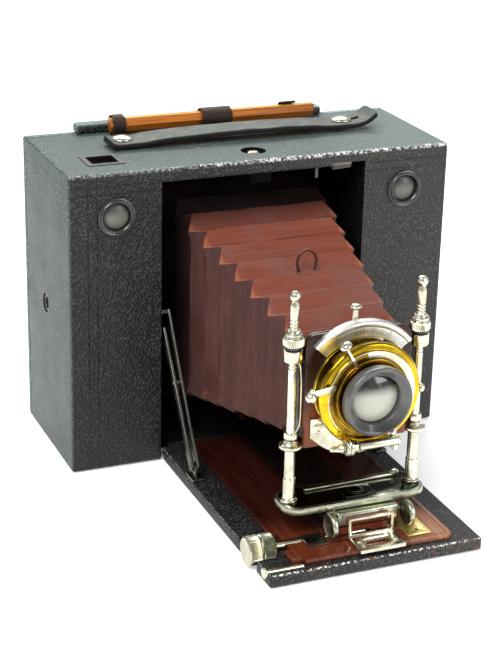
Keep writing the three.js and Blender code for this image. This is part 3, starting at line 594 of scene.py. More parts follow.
def mahogany(name, shaded, upright=False):
    """Polished mahogany, painted with light and shade. The bed's is painted darkest, as shade, under the
    bellows and painted lighter at the front, as lit, right most; the lens board's is painted lighter low
    down, as lit.
    """
    look = Look(name, Coat_Weight=0.1 if upright else 0.4, Coat_Roughness=0.07, Specular_IOR_Level=0.25)
    warp = look.noise(0.02, 2)
    bands = look.noise(0.35, 4, 0.55, look.stretched(1.0, 0.05, 0.15 if upright else 1.0))
    pores = look.between(look.noise(1.6, 3, 0.6, look.stretched(1.6, 0.12, 1.6)), 0.55, 0.7)
    amount = look.between(bands, 0.2, 0.85)
    colour = look.mix(amount, scaled(shaded, 0.55), shaded)
    if upright:
        # The lens board's lower part is painted warmer and lighter, as lit; its top keeps the shaded
        # colour.
        low = look.between(look.z, AXIS_Z + 5, AXIS_Z - 22)
        colour = look.mix(low, colour, look.mix(amount, (0.1, 0.022, 0.008), (0.26, 0.07, 0.02)))
    else:
        # The bed's front is painted lighter, as lit, more so towards the right; further back it keeps
        # the shaded colour.
        paler = look.mix(amount, (0.075, 0.013, 0.006), (0.15, 0.034, 0.012))
        pale = look.mix(amount, (0.24, 0.09, 0.04), (0.36, 0.16, 0.08))
        paler = look.mix(look.between(look.x, 14, 36), paler, pale)
        colour = look.mix(look.between(look.y, -140, -174), colour, paler)
    colour = look.mix(look.between(warp, 0.4, 0.65, 0.0, 0.15), colour, (0.12, 0.03, 0.01))
    colour = look.mix(look.times(pores, 0.35), colour, (0.012, 0.004, 0.003))
    return look.use(colour, look.between(bands, 0.3, 0.7, 0.2, 0.32), look.bump(pores, 0.04, -0.3))


def red_leather():
    """Red leather, painted brighter on top as lit, with painted highlights at its corners, and painted
    near black, as shade, where it goes inside the body.
    """
    look = Look("bellows_leather", Specular_IOR_Level=0.22)
    folds = look.noise(0.8, 4, 0.65, look.stretched(0.02, 0.55, 0.02))
    dust = look.noise(0.05, 5, 0.62)
    blotches = look.between(look.noise(0.028, 4, 0.6), 0.44, 0.62)
    scuffs = look.between(look.noise(0.3, 5, 0.7, look.stretched(0.6, 1.6, 0.6)), 0.58, 0.72)
    colour = look.mix(look.between(folds, 0.22, 0.78), (0.032, 0.008, 0.006), (0.062, 0.019, 0.015))
    colour = look.mix(look.between(dust, 0.42, 0.7, 0.0, 0.45), colour, (0.082, 0.03, 0.024))
    # Painted light: faces turned up are painted brighter.
    bright = look.mix(look.between(folds, 0.3, 0.7), (0.135, 0.031, 0.016), (0.175, 0.045, 0.024))
    bright = look.mix(look.times(blotches, 0.55), bright, (0.15, 0.063, 0.05))
    colour = look.mix(look.times(look.facing("Z", 0.15, 0.7), 0.92), colour, bright)
    colour = look.mix(look.times(scuffs, 0.25), colour, (0.26, 0.1, 0.06))
    # Painted highlight: pale orange along the pleats' corners, on faces turned up.
    back = look.times(look.minus(look.y, BELLOWS_FRONT - HALF_DEPTH), 1 / BELLOWS_LENGTH)
    width = look.add(look.times(back, look.add(look.times(back, BOW), FLARE)), NOSE_HALF)
    corner = look.between(look.minus(width, look.math("ABSOLUTE", look.x)), 3.2, 0.6)
    corner = look.times(corner, look.facing("Z", 0.15, 0.5))
    colour = look.mix(look.times(corner, 0.5), colour, (0.3, 0.11, 0.05))
    # Painted shade: the bellows are painted near black where they go inside the body.
    painted_shade_inside = look.times(look.between(look.y, -53, -24), 0.98)
    colour = look.mix(painted_shade_inside, colour, (0.004, 0.001, 0.001))
    grain = look.add(look.times(folds, 1.2), look.times(look.noise(1.4, 3), 0.5))
    return look.use(colour, look.between(dust, 0.3, 0.7, 0.46, 0.62), look.bump(grain, 0.2, 0.5))


def enamel(name, colour=(0.012, 0.012, 0.013), worn=(0.12, 0.12, 0.11), rough=0.28, low=None):
    """Black enamel, rubbed in places. Below a height it is painted darker, as shade."""
    look = Look(name, Coat_Weight=0.3, Coat_Roughness=0.12)
    lightened = look.between(look.noise(0.5, 5, 0.7), 0.6, 0.75)
    shade = look.mix(look.times(lightened, 0.5), colour, worn)
    # Painted shade: below a height the enamel is painted near black.
    if low:
        deep = look.between(look.z, low + 6, low - 4, 0.0, 0.85)
        shade = look.mix(deep, shade, (0.006, 0.006, 0.006))
    roughness = look.between(look.noise(0.2, 3), 0.3, 0.7, rough * 0.8, rough * 1.4)
    return look.use(shade, roughness, look.bump(look.noise(1.2, 3), 0.02, 0.3))


def lining():
    """The dull black inside of the body."""
    look = Look("black_lining", Specular_IOR_Level=0.1)
    fibre = look.noise(1.5, 4, 0.7)
    paler = look.between(look.noise(0.08, 4), 0.4, 0.7)
    colour = look.mix(paler, (0.002, 0.0015, 0.0015), (0.006, 0.004, 0.004))
    return look.use(colour, look.between(fibre, 0.3, 0.7, 0.75, 0.95), look.bump(fibre, 0.1, 0.5))


def pale_glass(name, middle, top, bottom, height, polish):
    """Dusty glass with a painted reflection: pale in its lower part, dark above."""
    shine = 0.2 + 0.4 * polish
    look = Look(name, Coat_Weight=polish, Coat_Roughness=0.04, Specular_IOR_Level=shine, IOR=1.55)
    level = look.minus(look.z, middle)
    dust = look.noise(0.35, 4, 0.6)
    # Painted reflection: pale below a level, dark above it.
    shade = look.mix(look.between(level, -0.2 * height, 0.75 * height), bottom, top)
    shade = look.mix(look.between(dust, 0.5, 0.8, 0.0, 0.25), shade, scaled(bottom, 0.7))
    return look.use(shade, look.between(dust, 0.3, 0.7, 0.34 - 0.4 * polish, 0.5 - 0.5 * polish))


def painted_pencil():
    look = Look("pencil_lacquer", Coat_Weight=0.3, Coat_Roughness=0.08, Specular_IOR_Level=0.3)
    grain = look.noise(0.6, 4, 0.6, look.stretched(0.05, 1, 1))
    chips = look.between(look.noise(0.45, 4, 0.7), 0.64, 0.7)
    shaded = look.mix(look.between(grain, 0.35, 0.65), (0.21, 0.055, 0.002), (0.36, 0.105, 0.004))
    lit = look.mix(look.between(grain, 0.35, 0.65), (0.62, 0.23, 0.015), (0.75, 0.38, 0.05))
    colour = look.mix(look.facing("Z", 0.55, 0.8), shaded, lit)
    colour = look.mix(look.times(chips, 0.5), colour, (0.2, 0.07, 0.02))
    colour = look.mix(look.between(look.x, 58.0, 58.7), colour, (0.05, 0.02, 0.012))
    return look.use(colour, look.between(grain, 0.3, 0.7, 0.25, 0.4), look.bump(grain, 0.03, 0.4))


def ruby():
    look = Look("ruby_glass_disc", Coat_Weight=0.5, Coat_Roughness=0.05)
    colour = look.mix(look.noise(0.2, 3), (0.09, 0.004, 0.003), (0.2, 0.012, 0.008))
    return look.use(colour, look.between(look.noise(0.6, 3), 0.3, 0.7, 0.08, 0.18))


def spool_wood():
    look = Look("spool_wood_turned")
    grain = look.noise(0.8, 4, 0.6, look.stretched(1, 1, 0.05))
    colour = look.mix(grain, (0.05, 0.03, 0.016), (0.14, 0.085, 0.045))
    return look.use(colour, look.between(grain, 0.3, 0.7, 0.45, 0.65), look.bump(grain, 0.05, 0.4))


LEATHER = cover_leather("body_leather", body_edges, body_creases)
BED_LEATHER = cover_leather("bed_leather", bed_edges, rust=True, tone=1.3, painted_sheen=0)
# The back's cover gets a stronger painted sheen on faces turned up or left.
BACK_LEATHER = cover_leather("back_leather", painted_sheen=2.3)
STRAP = plain_leather("strap_leather_sheen", (0.006, 0.006, 0.006), (0.13, 0.14, 0.122))
BARE = plain_leather("bare_board", (0.07, 0.058, 0.054), (0.12, 0.1, 0.095))
BROWN = plain_leather("loop_leather", (0.015, 0.007, 0.005), (0.05, 0.026, 0.018))
LINING = lining()
NICKEL = metal("old_nickel", (0.7, 0.67, 0.54), (0.48, 0.46, 0.35), 0.18)
SATIN = metal("satin_nickel", (0.4, 0.41, 0.31), (0.27, 0.28, 0.21), 0.28, 0.45)
SMOKED = metal("smoked_nickel", (0.07, 0.07, 0.05), (0.03, 0.03, 0.02), 0.14, 0.3)
DARK_NICKEL = metal("dark_nickel", (0.19, 0.19, 0.165), (0.1, 0.1, 0.085), 0.3, 0.5)
SCALE = metal("scale_nickel", (0.74, 0.73, 0.69), (0.56, 0.55, 0.5), 0.36, 0.2, marks=scale_marks)
BRASS = metal("lacquered_brass", (0.76, 0.5, 0.022), (0.46, 0.29, 0.016), 0.2, 0.3, top_darkening=0.78)
TUBE_BRASS = metal("tube_brass", (0.24, 0.14, 0.016), (0.07, 0.038, 0.01), 0.24, 0.3)
PLATE_BRASS = metal("plate_brass", (0.9, 0.72, 0.28), (0.78, 0.58, 0.2), 0.34, 0.2)
TRACK = metal("track_steel", (0.22, 0.21, 0.2), (0.12, 0.11, 0.1), 0.2, 0.4, (3, 0.05, 3), wooden_end,
              ink=(0.16, 0.035, 0.014))
ENAMEL = enamel("black_enamel")
BEZEL = enamel("bezel_enamel", (0.062, 0.064, 0.06), (0.18, 0.18, 0.17), 0.2, low=AXIS_Z - 12)
PEG = enamel("peg_enamel", (0.05, 0.05, 0.05))
FINDER_RIM = enamel("finder_rim_enamel", (0.014, 0.016, 0.015), (0.08, 0.08, 0.075), 0.24)
WOOD = mahogany("polished_mahogany", (0.03, 0.006, 0.004))
BOARD_WOOD = mahogany("board_mahogany", (0.022, 0.006, 0.004), upright=True)
RED = red_leather()
GLASS = pale_glass("lens_glass", AXIS_Z + 2, (0.015, 0.017, 0.016), (0.37, 0.375, 0.31), 7, 0.55)
FINDER_GLASS = pale_glass("finder_glass", FINDER[1], (0.045, 0.05, 0.045), (0.115, 0.125, 0.1), 6, 0.1)
RUBY = ruby()
SPOOL = spool_wood()
PENCIL = painted_pencil()


# ---- body ------------------------------------------------------------------------------------
def body_cover():
    """The leather-covered box in one piece: boards, walls and front panels."""
    x, z = FINDER
    bores = [(9, -2, 8, "Y", (side * x, 0, z), 64) for _, side in SIDES]
    bores += [(7, 166, 171, "Z", BUTTON, 48), (4.5, 150, 168, "Z", BUTTON, 32)]
    bores += [(5.3, -113, -100, "X", SIDE_BUSH, 40), (8.3, -1, 9, "Z", BASE_BUSH, 40)]
    bores.append((13.5, -1, 4.6, "Z", KEY_AT, 48))
    holes = [lathe(solid(r, low, high), *rest, 0) for r, low, high, *rest in bores]
    holes.append(block(-x - 7.5, -x + 7.5, *FINDER_WINDOW, 155, 175, 0))
    holes.append(block(100, 115, *FINDER_WINDOW, z - 7.5, z + 7.5, 0))
    cavity = block(-104, 104, 7, 90, 7, 161.9, 0)
    mouth = block(-OPENING, OPENING, -5, 8, -5, LINTEL, 0)
    chipped = block(51, OPENING, -5, 6.5, 150, LINTEL + 1.5, 0)
    bm = carved(block(*BODY, edge=1.7, steps=4), cavity, mouth, chipped, *holes)
    for face in bm.faces:
        c = face.calc_center_median()
        outside = abs(c.x) > 110 or c.y < 0.9 or c.y > 81.9 or c.z > 168.1 or c.z < 0.9
        face.material_index = 0 if outside else 1
    nodes = ["top_board", "bottom_board", "left_wall", "right_wall"]
    nodes += ["front_panel_left", "front_panel_right"]
    publish("body_cover", bm, "body", "leather_cover", [LEATHER, LINING], nodes, sharp=30)
    peg = lathe([(0, 155), (0.7, 155), (0.9, 155.4), (0.9, 162), (0, 162)], "Z", (31.3, 3, 0), 16, 0.1)
    publish("lintel_peg", peg, "body", "nickel", PEG)
    core = prism([[(40.3, 159.4), (50.8, 159.9), (51.2, 162.4), (40.1, 162.6)]], "Y", 0.6, 5.6, 0.25)
    publish("lintel_core", core, "body", "leather_cover", BARE)


def back_cover():
    slab = block(*BODY[:2], 82.3, 87, *BODY[4:], edge=1.5, steps=4)
    lip = block(-82, 68, 78.3, 87, 168.9, 174.5, edge=1.9, steps=4)
    window = lathe(solid(7.3, 80, 90), "Y", RUBY_AT, 48, 0)
    whole = merged(carved(slab, window), lip)
    finished("back_panel", whole, "back", "leather_cover", BACK_LEATHER, sharp=30)
    rim = lathe([(6.2, 85.2), (7, 85.2), (7, 87.3), (9, 87.3), (9, 88.3), (6.2, 88.3)], "Y", RUBY_AT, 48)
    disc = lathe([(0, 83.4), (6.4, 83.4), (6.4, 85.2), (3, 85.6), (0, 85.8)], "Y", RUBY_AT, 48)
    finished("ruby_window", merged((rim, 1), disc), "back", "ruby_glass", [RUBY, DARK_NICKEL])


def finders():
    x, z = FINDER
    for name, side in SIDES:
        at = (side * x, 0, z)
        bezel = [(7.5, -0.6), (8.1, -1.4), (8.7, -1.4), (9.1, -0.9), (9.6, -1.2), (10.4, -1.0)]
        bezel += [(10.4, -0.2), (8.7, -0.2), (8.7, 6), (7.5, 6)]
        bezel = lathe(bezel, "Y", at, 64, 0.15)
        finished("finder_bezel_" + name, bezel, "body", "black_metal", FINDER_RIM)
        bulge = [(0, -0.6), (2, -0.5), (4, 0), (5.8, 0.7), (7.2, 1.6), (7.2, 3), (0, 3)]
        finished("finder_lens_" + name, lathe(bulge, "Y", at, 48, 0.1), "body", "glass", FINDER_GLASS)
    hole = rectangle(-x - 7.4, -x + 7.4, 18.1, 31.9, 0.6)
    rim = prism([rectangle(-x - 10.4, -x + 10.4, 15.2, 34.8, 1.5), hole], "Z", 168.8, 169.5, 0.2)
    pane = block(-x - 7.2, -x + 7.2, 18.3, 31.7, 165.2, 166.4, 0.2)
    finished("finder_window_top", merged((rim, 1), pane), "body", "glass", [ENAMEL, STRAP])
    hole = rectangle(18.1, 31.9, z - 7.4, z + 7.4, 0.6)
    rim = prism([rectangle(15.2, 34.8, z - 10.4, z + 10.4, 1.5), hole], "X", 110.8, 111.5, 0.2)
    pane = block(107.4, 108.6, 18.3, 31.7, z - 7.2, z + 7.2, 0.2)
    finished("finder_window_side", merged((rim, 1), pane), "body", "glass", [ENAMEL, STRAP])


def strap():
    under = [(-74, 171.3), (-71, 170.4), (-65, 170.3), (-58, 170.4), (-38, 171.9), (0, 172.7)]
    under += [(38, 172.3), (58, 170.9), (66, 170.8), (74, 171.2), (80, 173.1), (85.5, 177)]
    path = spline([(x, 0, z + 1.5) for x, z in under], 9)
    section = rectangle(-9, 9, -1.5, 1.5, 0.9, 4)
    sides = [math.dist(a, b) for a, b in zip(section, section[1:] + section[:1])]
    dense = divided(section, [max(1, round(side / 1.8)) for side in sides])
    bm = bmesh.new()
    rings = []
    for i, (p, ahead) in enumerate(zip(path, headings(path))):
        up = Vector((-ahead.z, 0, ahead.x))
        end = min(i, len(path) - 1 - i)
        narrow = (0.72, 0.9, 0.97)[end] if end < 3 else 1
        ring = []
        for a, b in dense:
            crease = 0.35 * noise.noise(Vector((p.x * 0.12, a * 0.2, 3)))
            point = p + Vector((0, HANDLE_Y + a * narrow, 0)) + up * (b + (crease if b > 0 else 0))
            ring.append(bm.verts.new(point))
        rings.append(ring)
    bridged(bm, rings)
    bm.faces.new(rings[0])
    bm.faces.new(rings[-1])
    slit = block(66, 77, HANDLE_Y - 1.6, HANDLE_Y + 1.6, 160, 190, 0)
    finished("handle_strap", carved(bm, slit), "body", "strap_leather", STRAP, sharp=50)
    for (name, side), z in zip(SIDES, (173.4, 173.9)):
        head = [(0, 165.6), (2.2, 165.6), (2.2, z), (6, z + 0.1), (6, z + 0.7), (4.2, z + 1.7)]
        head += [(2, z + 2.2), (0, z + 2.4)]
        stud = lathe(head, "Z", (side * 66, HANDLE_Y, 0), 40)
        finished("handle_stud_" + name, stud, "body", "nickel", NICKEL)


def pencil_and_loops():
    y, z = PENCIL_AXIS
    turns = [(i + 0.5) * math.pi / 3 for i in range(6)]
    corners = [(y + 4.2 * math.sin(t), z + 4.2 * math.cos(t)) for t in turns]
    finished("pencil", prism([corners], "X", -65, 59, 0.25), "pencil", "pencil_paint", PENCIL, sharp=25)
    parts = [block(-64, 48, y - 4, y + 4, 169.3, 170.4, 0.3)]
    for x0, x1 in ((-64, -57), (-11, 7), (39, 48)):
        sweep = (-100, 100) if x0 > 30 else None  # the right loop has lost its front half
        ring = lathe(tube(4.6, 5.7, x0, x1), "X", (0, y, z), 36, 0.4, sweep=sweep)
        for v in ring.verts:
            wave = 0.22 * noise.noise(Vector((v.co.x * 0.5, v.co.y * 0.7, v.co.z * 0.7)))
            v.co.x += 3 * wave
            v.co.z += wave if v.co.z > z else 0
        parts.append(ring)
    finished("pencil_holder", merged(*parts), "body", "brown_leather", BROWN)


def bed_release():
    cap = [(0, 156.5), (1.8, 156.5), (1.8, 163.2), (4.2, 163.2), (4.2, 166.4), (3.4, 168)]
    cap += [(2, 168.8), (0, 169)]
    finished("door_button", lathe(cap, "Z", BUTTON, 40), "button", "nickel", NICKEL)
    hook = [(14.5, 161), (14.5, 159.6), (8.6, 159.6), (8.6, 157.4), (9.5, 156.5), (9.5, 154)]
    hook += [(7, 154), (7, 161)]
    # Painted shade: the nickel latch is coloured black because it sits in shadow.
    finished("door_latch", prism([hook], "X", -6, 6, 0.2), "latch", "nickel", LINING)


def tripod_bushes():
    side = lathe(tube(3.3, 5, -110.4, -104.3), "X", SIDE_BUSH, 40)
    finished("tripod_bush_side", side, "body", "black_metal", ENAMEL)
    base = lathe(tube(3.3, 8, 0.2, 6.8), "Z", BASE_BUSH, 48)
    finished("tripod_bush_base", base, "body", "brass", TUBE_BRASS)


# ---- bed -------------------------------------------------------------------------------------
def bed():
    """The bed's board and its mahogany panel, with room for the knob, the pinion and the rods."""
    y, _ = PINION
    cuts = ((-65, -45.5, 8.6, -1), (-65, 34.5, 2.1, 6), (-65, -31.2, 2.8, 5.8), (-5.4, 5.4, 4.2, 4.3))
    cutters = [block(x0, x1, y - half, y + half, z, 8, 0) for x0, x1, half, z in cuts]
    cutters.append(block(-65, -38, y - 22.4, y - 18.6, 4.8, 8, 0))
    cutters += [block(*span(side, 54.2, 60), -2, 9, -1, 8, 0) for _, side in SIDES]
    board = block(*BED, 1.3, 4)
    finished("bed_board", carved(board, *cutters), "body", "leather_cover", BED_LEATHER, sharp=30)
    panel = prism([rectangle(-44, 44, -150, -2, 3.5, 10)], "Z", 7.3, 9.8, 0.5)
    inset = [rectangle(-41.6, 41.6, -147.6, -4, 2, 8), rectangle(-41.1, 41.1, -147.1, -4.5, 1.8, 8)]
    line = prism(inset, "Z", 9.45, 11, 0)
    cuts = ((-60, -40, 8.6), (-60, 34.5, 2.1), (-60, -31.2, 2.8), (-5.4, 5.4, 4.2))
    cutters = [block(x0, x1, y - half, y + half, 5, 11, 0) for x0, x1, half in cuts]
    cutters.append(block(-60, -37.5, -160, y - 18, 5, 11, 0))
    finished("bed_panel", carved(panel, line, *cutters), "body", "mahogany", WOOD, sharp=30)


def hinge_and_stays():
    half = [(0, -63), (1.6, -63), (1.6, -59), (3.2, -59), (3.2, -54.7), (1.6, -54.7)]
    rod = half + [(r, -d) for r, d in reversed(half)]
    finished("hinge_rod", lathe(rod, "X", (0, 3.5, 3.5), 32), "body", "nickel", DARK_NICKEL)
    top, outer_top, middle, foot = (4, 87), (3, 77), (-15, 52.5), (-42, 14)
    for name, side in SIDES:
        parts = [prism([bar(top, foot, 2.1)], "X", *span(side, 53.3, 54.7), 0.25)]
        parts.append(prism([bar(outer_top, foot, 2.1)], "X", *span(side, 56.4, 57.8), 0.25))
        for (y, z), far in ((middle, 58.3), (foot, 58.3), (top, 59.2)):
            low, high = span(side, 52.6, far)
            head = [(0, low), (0.9, low), (1.4, low + 0.5), (1.4, high - 0.5), (0.9, high), (0, high)]
            parts.append(lathe(head, "X", (0, y, z), 20))
        parts.append(block(*span(side, 55, 56.2), -45.5, -38.5, 8, 15.5, 0.2))
        parts.append(block(*span(side, 51.5, 58), -47, -36, 7.3, 8.6, 0.3))
        finished("strut_" + name, merged(*parts), "body", "nickel", DARK_NICKEL)


def striker():
    left, right = -10.1, 15.1
    loops = [rectangle(left, right, -154.4, -138, 0.8)]
    loops.append(rectangle(left + 6, right - 6, -150, -144.5, 0.5))
    foot = prism(loops, "Z", 10.1, 12, 0.3)
    loops = [rectangle(left, right, 10.8, 22, 1.6), rectangle(left + 1.7, right - 1.7, 13, 20.6, 0.8)]
    upright = prism(loops, "Y", -139.6, -138, 0.3)
    head = [(0, 11.6), (1.1, 11.6), (1.0, 12.3), (0.6, 12.5), (0, 12.6)]
    places = ((left + 3, -145.5), (right - 3, -148.5))
    rivets = [lathe(head, "Z", (x, y, 0), 20) for x, y in places]
    finished("striker_plate", merged(foot, upright, *rivets), "body", "nickel", NICKEL)


def pinion_cover():
    left = block(-31, -20.2, -139, -127, 10.1, 10.7, 0.15)
    loops = [rectangle(20.2, 33.6, -146, -127, 0.8), circle(27.5, -140.5, 0.9, 16)]
    right = prism(loops, "Z", 10.1, 10.7, 0.12)
    strip = block(-21, 21, -137.6, -134.2, 10.1, 10.5, 0.1)
    looks = [PLATE_BRASS, DARK_NICKEL, WOOD]
    finished("pinion_cover", merged((left, 1), right, (strip, 2)), "body", "brass", looks)


def rods_and_knob():
    y, z = PINION
    rod = [(0, -60.5), (2.3, -60.5), (2.8, -60.1), (2.8, -58.9), (1.5, -58.9), (1.5, -39.2)]
    rod += [(1.1, -38.6), (0, -38.6)]
    finished("support_rod", lathe(rod, "X", (0, y - 20.5, 6.6), 32), "support_rod", "nickel", NICKEL)
    outer = [(0, -61.0), (5.2, -61.0), (5.8, -61.3), (6.8, -61.3), (7.6, -60.5), (7.6, -54.8)]
    outer += [(6.7, -54.3), (0, -54.3)]
    inner = [(0, -53.7), (6.7, -53.7), (7.6, -53.2), (7.6, -47.8), (6.8, -46.8), (0, -46.8)]
    knob = [lathe(outer, "X", (0, y, z), 80, 0.2, (-60.6, -54.7, 0.7))]
    knob.append((lathe(inner, "X", (0, y, z), 80, 0.2, (-53.3, -47.7, 0.9)), 1))
    knob.append(lathe(solid(6.2, -54.5, -53.5), "X", (0, y, z), 48))
    finished("focus_knob", merged(*knob), "pinion", "nickel", [NICKEL, SATIN], sharp=30)


def carriage():
    left, right = -13.5, 20.8
    ends = ((left - 1, left + 8), (right - 8, right + 1))
    sockets = [lathe(solid(1.9, a, b), "X", (0, *GRIP_PIN), 24, 0) for a, b in ends]
    box = carved(block(left, right, -133.5, -104, 14.7, 22.7, 1.1, 3), *sockets)
    inlay = block(-9, 14.5, -133.9, -133, 15.2, 20.6, 0.25)
    finished("carriage_block", merged(box, (inlay, 1)), "carriage", "nickel", [SATIN, WOOD], sharp=30)
    for (name, side), face in zip(SIDES, (left, right)):
        ends = sorted((face - side * 6, face + side * 2.5))
        pin = lathe(solid(1.6, *ends), "X", (0, *GRIP_PIN), 24)
        pad = [(0, 2.7), (6.2, 2.7), (6.9, 3.3), (6.9, 5.0), (6.2, 5.7), (5.4, 5.7), (5.0, 5.3)]
        pad.append((0, 5.3))
        disc = lathe([(r, face + side * d) for r, d in pad], "X", (0, -135, 17.7), 56)
        finished("pinch_grip_" + name, merged(pin, disc), "grip_" + name, "nickel", SATIN)


# ---- front standard --------------------------------------------------------------------------
def shift_plate():
    plate = prism([rectangle(-39.5, 39.5, -130, -106, 9, 12)], "Z", 23, 27, 1.1)
    mirror = prism([rectangle(-37.6, 37.6, -128.1, -107.9, 7.2, 12)], "Z", 26.9, 27.12, 0.05)
    seat = block(-6, 11, -127, -116, 26.5, 27.9, 0.3)
    rings = [(0, 27), (4.2, 27), (4.2, 28.3), (3.2, 28.4), (3.2, 28.8), (2.6, 29), (0, 29)]
    boss = lathe(rings, "Z", (2, -121.5, 0), 40)
    whole = merged(plate, (mirror, 1), (seat, 1), (boss, 1))
    finished("shift_plate", whole, "shift", "nickel", [SATIN, SMOKED])
    (px, py), (tx, ty) = (29, -110), (-23, -112.6)
    outline = [(px - 4, py - 2), (px, py - 2.4), (px, py + 2.4), (px - 4, py + 2)]
    outline += [(tx, ty + 0.8), (tx, ty - 0.8)]
    arm = prism([outline], "Z", 27.3, 28.5, 0.25)
    head = [(0, 27.3), (2.6, 27.3), (2.6, 29.3), (2, 30.1), (1, 30.4), (0, 30.5)]
    screw = lathe(head, "Z", (px, py, 0), 32)
    slot = block(px - 3, px + 3, py - 0.35, py + 0.35, 29.7, 31, 0)
    finished("shift_lever", merged(arm, carved(screw, slot)), "shift_lever", "nickel", NICKEL)


def posts():
    x, y = POST
    for name, side in SIDES:
        profile = [(0, 27.3), (4.4, 27.3), (4.4, 28.2), (3.4, 28.8), (3.15, 29.4), (3.15, 39.8)]
        profile += [(2.75, 40.3), (2.75, 55.6), (3.6, 55.9), (5.6, 56.5), (5.9, 57), (5.9, 58.2)]
        profile += [(4.4, 58.8), (3.6, 59.6), (3.4, 60.6), (2.3, 61.2)]
        for z in (98.5, 100.3, 102.1, 120.2, 122, 123.8):
            profile += [(2.3, z), (1.95, z + 0.2), (1.95, z + 0.55), (2.3, z + 0.75)]
        profile += [(2.3, 131), (1.9, 132.6), (1.6, 133.6), (2.2, 134.4), (2.75, 135.6)]
        profile += [(2.8, 136.6), (2.2, 138.2), (1.1, 138.9), (0, 139)]
        post = lathe(profile, "Z", (side * x, y, 0), 40, 0.12)
        finished("post_" + name, post, "shift", "nickel", NICKEL)


def lens_frame():
    x, y = POST
    loops = [rectangle(-28.5, 28.5, 56.1, 115.4, 7, 8), circle(0, AXIS_Z, 16.8, 48)]
    parts = [prism(loops, "Y", -117.5, -116.1, 0.2)]
    for _, side in SIDES:
        parts.append(block(*span(side, 28.5, 32.1), -117.9, -116.2, 61.6, 109.1, 0.3))
        upper = [(2.4, 102.6), (4.4, 102.6), (4.9, 103.2), (4.9, 109), (2.4, 109.2)]
        lower = [(2.4, 61.6), (3.4, 61.6), (3.6, 62), (3.6, 63), (3.4, 65), (2.4, 65)]
        parts += [(lathe(sleeve, "Z", (side * x, y, 0), 40), 1) for sleeve in (upper, lower)]
    bend = [(-32.6, -121.4, 104), (-31.3, -122.2, 98), (-30.9, -122.3, 84), (-31.2, -122.2, 70)]
    bend.append((-33, -121.2, 65))
    parts.append((rope(spline(bend, 6), 0.35), 1))
    finished("lens_frame", merged(*parts), "lens", "nickel", [DARK_NICKEL, NICKEL])


def clamp_nuts():
    for name, side in SIDES:
        at = (side * POST[0], POST[1], 0)
        band = lathe(tube(2.4, 4.6, 109.6, 111), "Z", at, 40)
        grip = [(2.4, 111), (4.9, 111), (5.3, 111.4), (5.3, 114.6), (4.8, 115.2), (2.4, 115.2)]
        grip = lathe(grip, "Z", at, 80, 0.15, (111.3, 114.8, 0.3))
        collar = [(2.4, 115.2), (4.2, 115.2), (3.9, 116), (4.5, 116.5), (4.5, 117.3), (3.4, 118)]
        collar += [(3.2, 119), (2.4, 119)]
        nut = merged((band, 1), grip, lathe(collar, "Z", at, 40, 0.15))
        finished("clamp_nut_" + name, nut, "nut_" + name, "nickel", [NICKEL, ENAMEL])


def lens_board():
    outline = [(-28, 56), (28, 56), (28, 66), (29, 68)] + arc(22, 109, 7, 0, 90)
    outline += arc(-22, 109, 7, 90, 180) + [(-29, 68), (-28, 66)]
    board = prism([outline, circle(0, AXIS_Z, 18.6, 48)], "Y", -121.7, -118.1, 0.5)
    finished("lens_board", board, "lens", "mahogany", BOARD_WOOD)
    pin = [(0, 116.2), (1.7, 116.2), (2, 116.6), (1.6, 117.8), (1.4, 126), (1.9, 126.6), (3, 127.2)]
    pin += [(2.9, 128), (1.8, 128.8), (0, 129)]
    finished("board_catch", lathe(pin, "Z", (-2.2, -119.9, 0), 32, 0.15), "catch", "nickel", NICKEL)


# ---- shutter and lens ------------------------------------------------------------------------
def dome(x, z, r, base, height):
    """A screw head facing forwards."""
    profile = [(0, base + 0.5), (r, base + 0.5), (r, base)]
    profile += [(0.6 * r, base - height), (0, base - 1.2 * height)]
    return lathe(profile, "Y", (x, 0, z), 20)


def shutter_plate():
    back, front = -122.0, -123.5
    disc = lathe(tube(18, 25, front, back), "Y", AXIS, 72)
    apron = [(-25.8, 72), (-25.8, 62)] + arc(0, 82, 32, 228, 312, 20) + [(25.8, 62), (25.8, 72)]
    hole = lathe(solid(18.6, -130, -120), "Y", AXIS, 48, 0)
    lower = carved(prism([apron], "Y", front, back, 0.3), hole)
    rim = [(26.3, back), (26.3, -125.6), (26.8, -126), (31.6, -126), (32, -126.4), (33.2, -126.8)]
    rim += [(34.2, -126.6), (34.8, -125.6), (34.8, back)]
    scale = lathe(rim, "Y", AXIS, 64, 0.3, sweep=(40, 137))
    neck = block(-12, 12, front, back, AXIS_Z + 20, AXIS_Z + 31, 0.3)
    cylinder = [(1.5, -7.5), (2.4, -7.5), (2.4, 13.6), (2.0, 14.5), (1.5, 14.5)]
    cylinder = lathe(cylinder, "X", (0, *VALVE), 32)
    rib = block(11.5, 13.5, -142, back, 57.8, 59.6, 0.4)
    rib = merged(rib, block(11.5, 13.5, -142, -140, 59, 61.5, 0.3))
    lug = block(9, 13.8, -139.6, -137.9, 62, 68.2, 0.6, 3)
    screws = [dome(x, z, 1.2, front, 0.5) for x, z in ((-21.6, 64.8), (-13, 54.8), (21.6, 64.8))]
    screws.append(dome(11.4, 66.4, 1.8, -139.6, 1.2))
    whole = merged(disc, lower, (scale, 1), (neck, 1), cylinder, rib, lug, *screws)
    finished("shutter_plate", whole, "lens", "nickel", [NICKEL, SCALE])


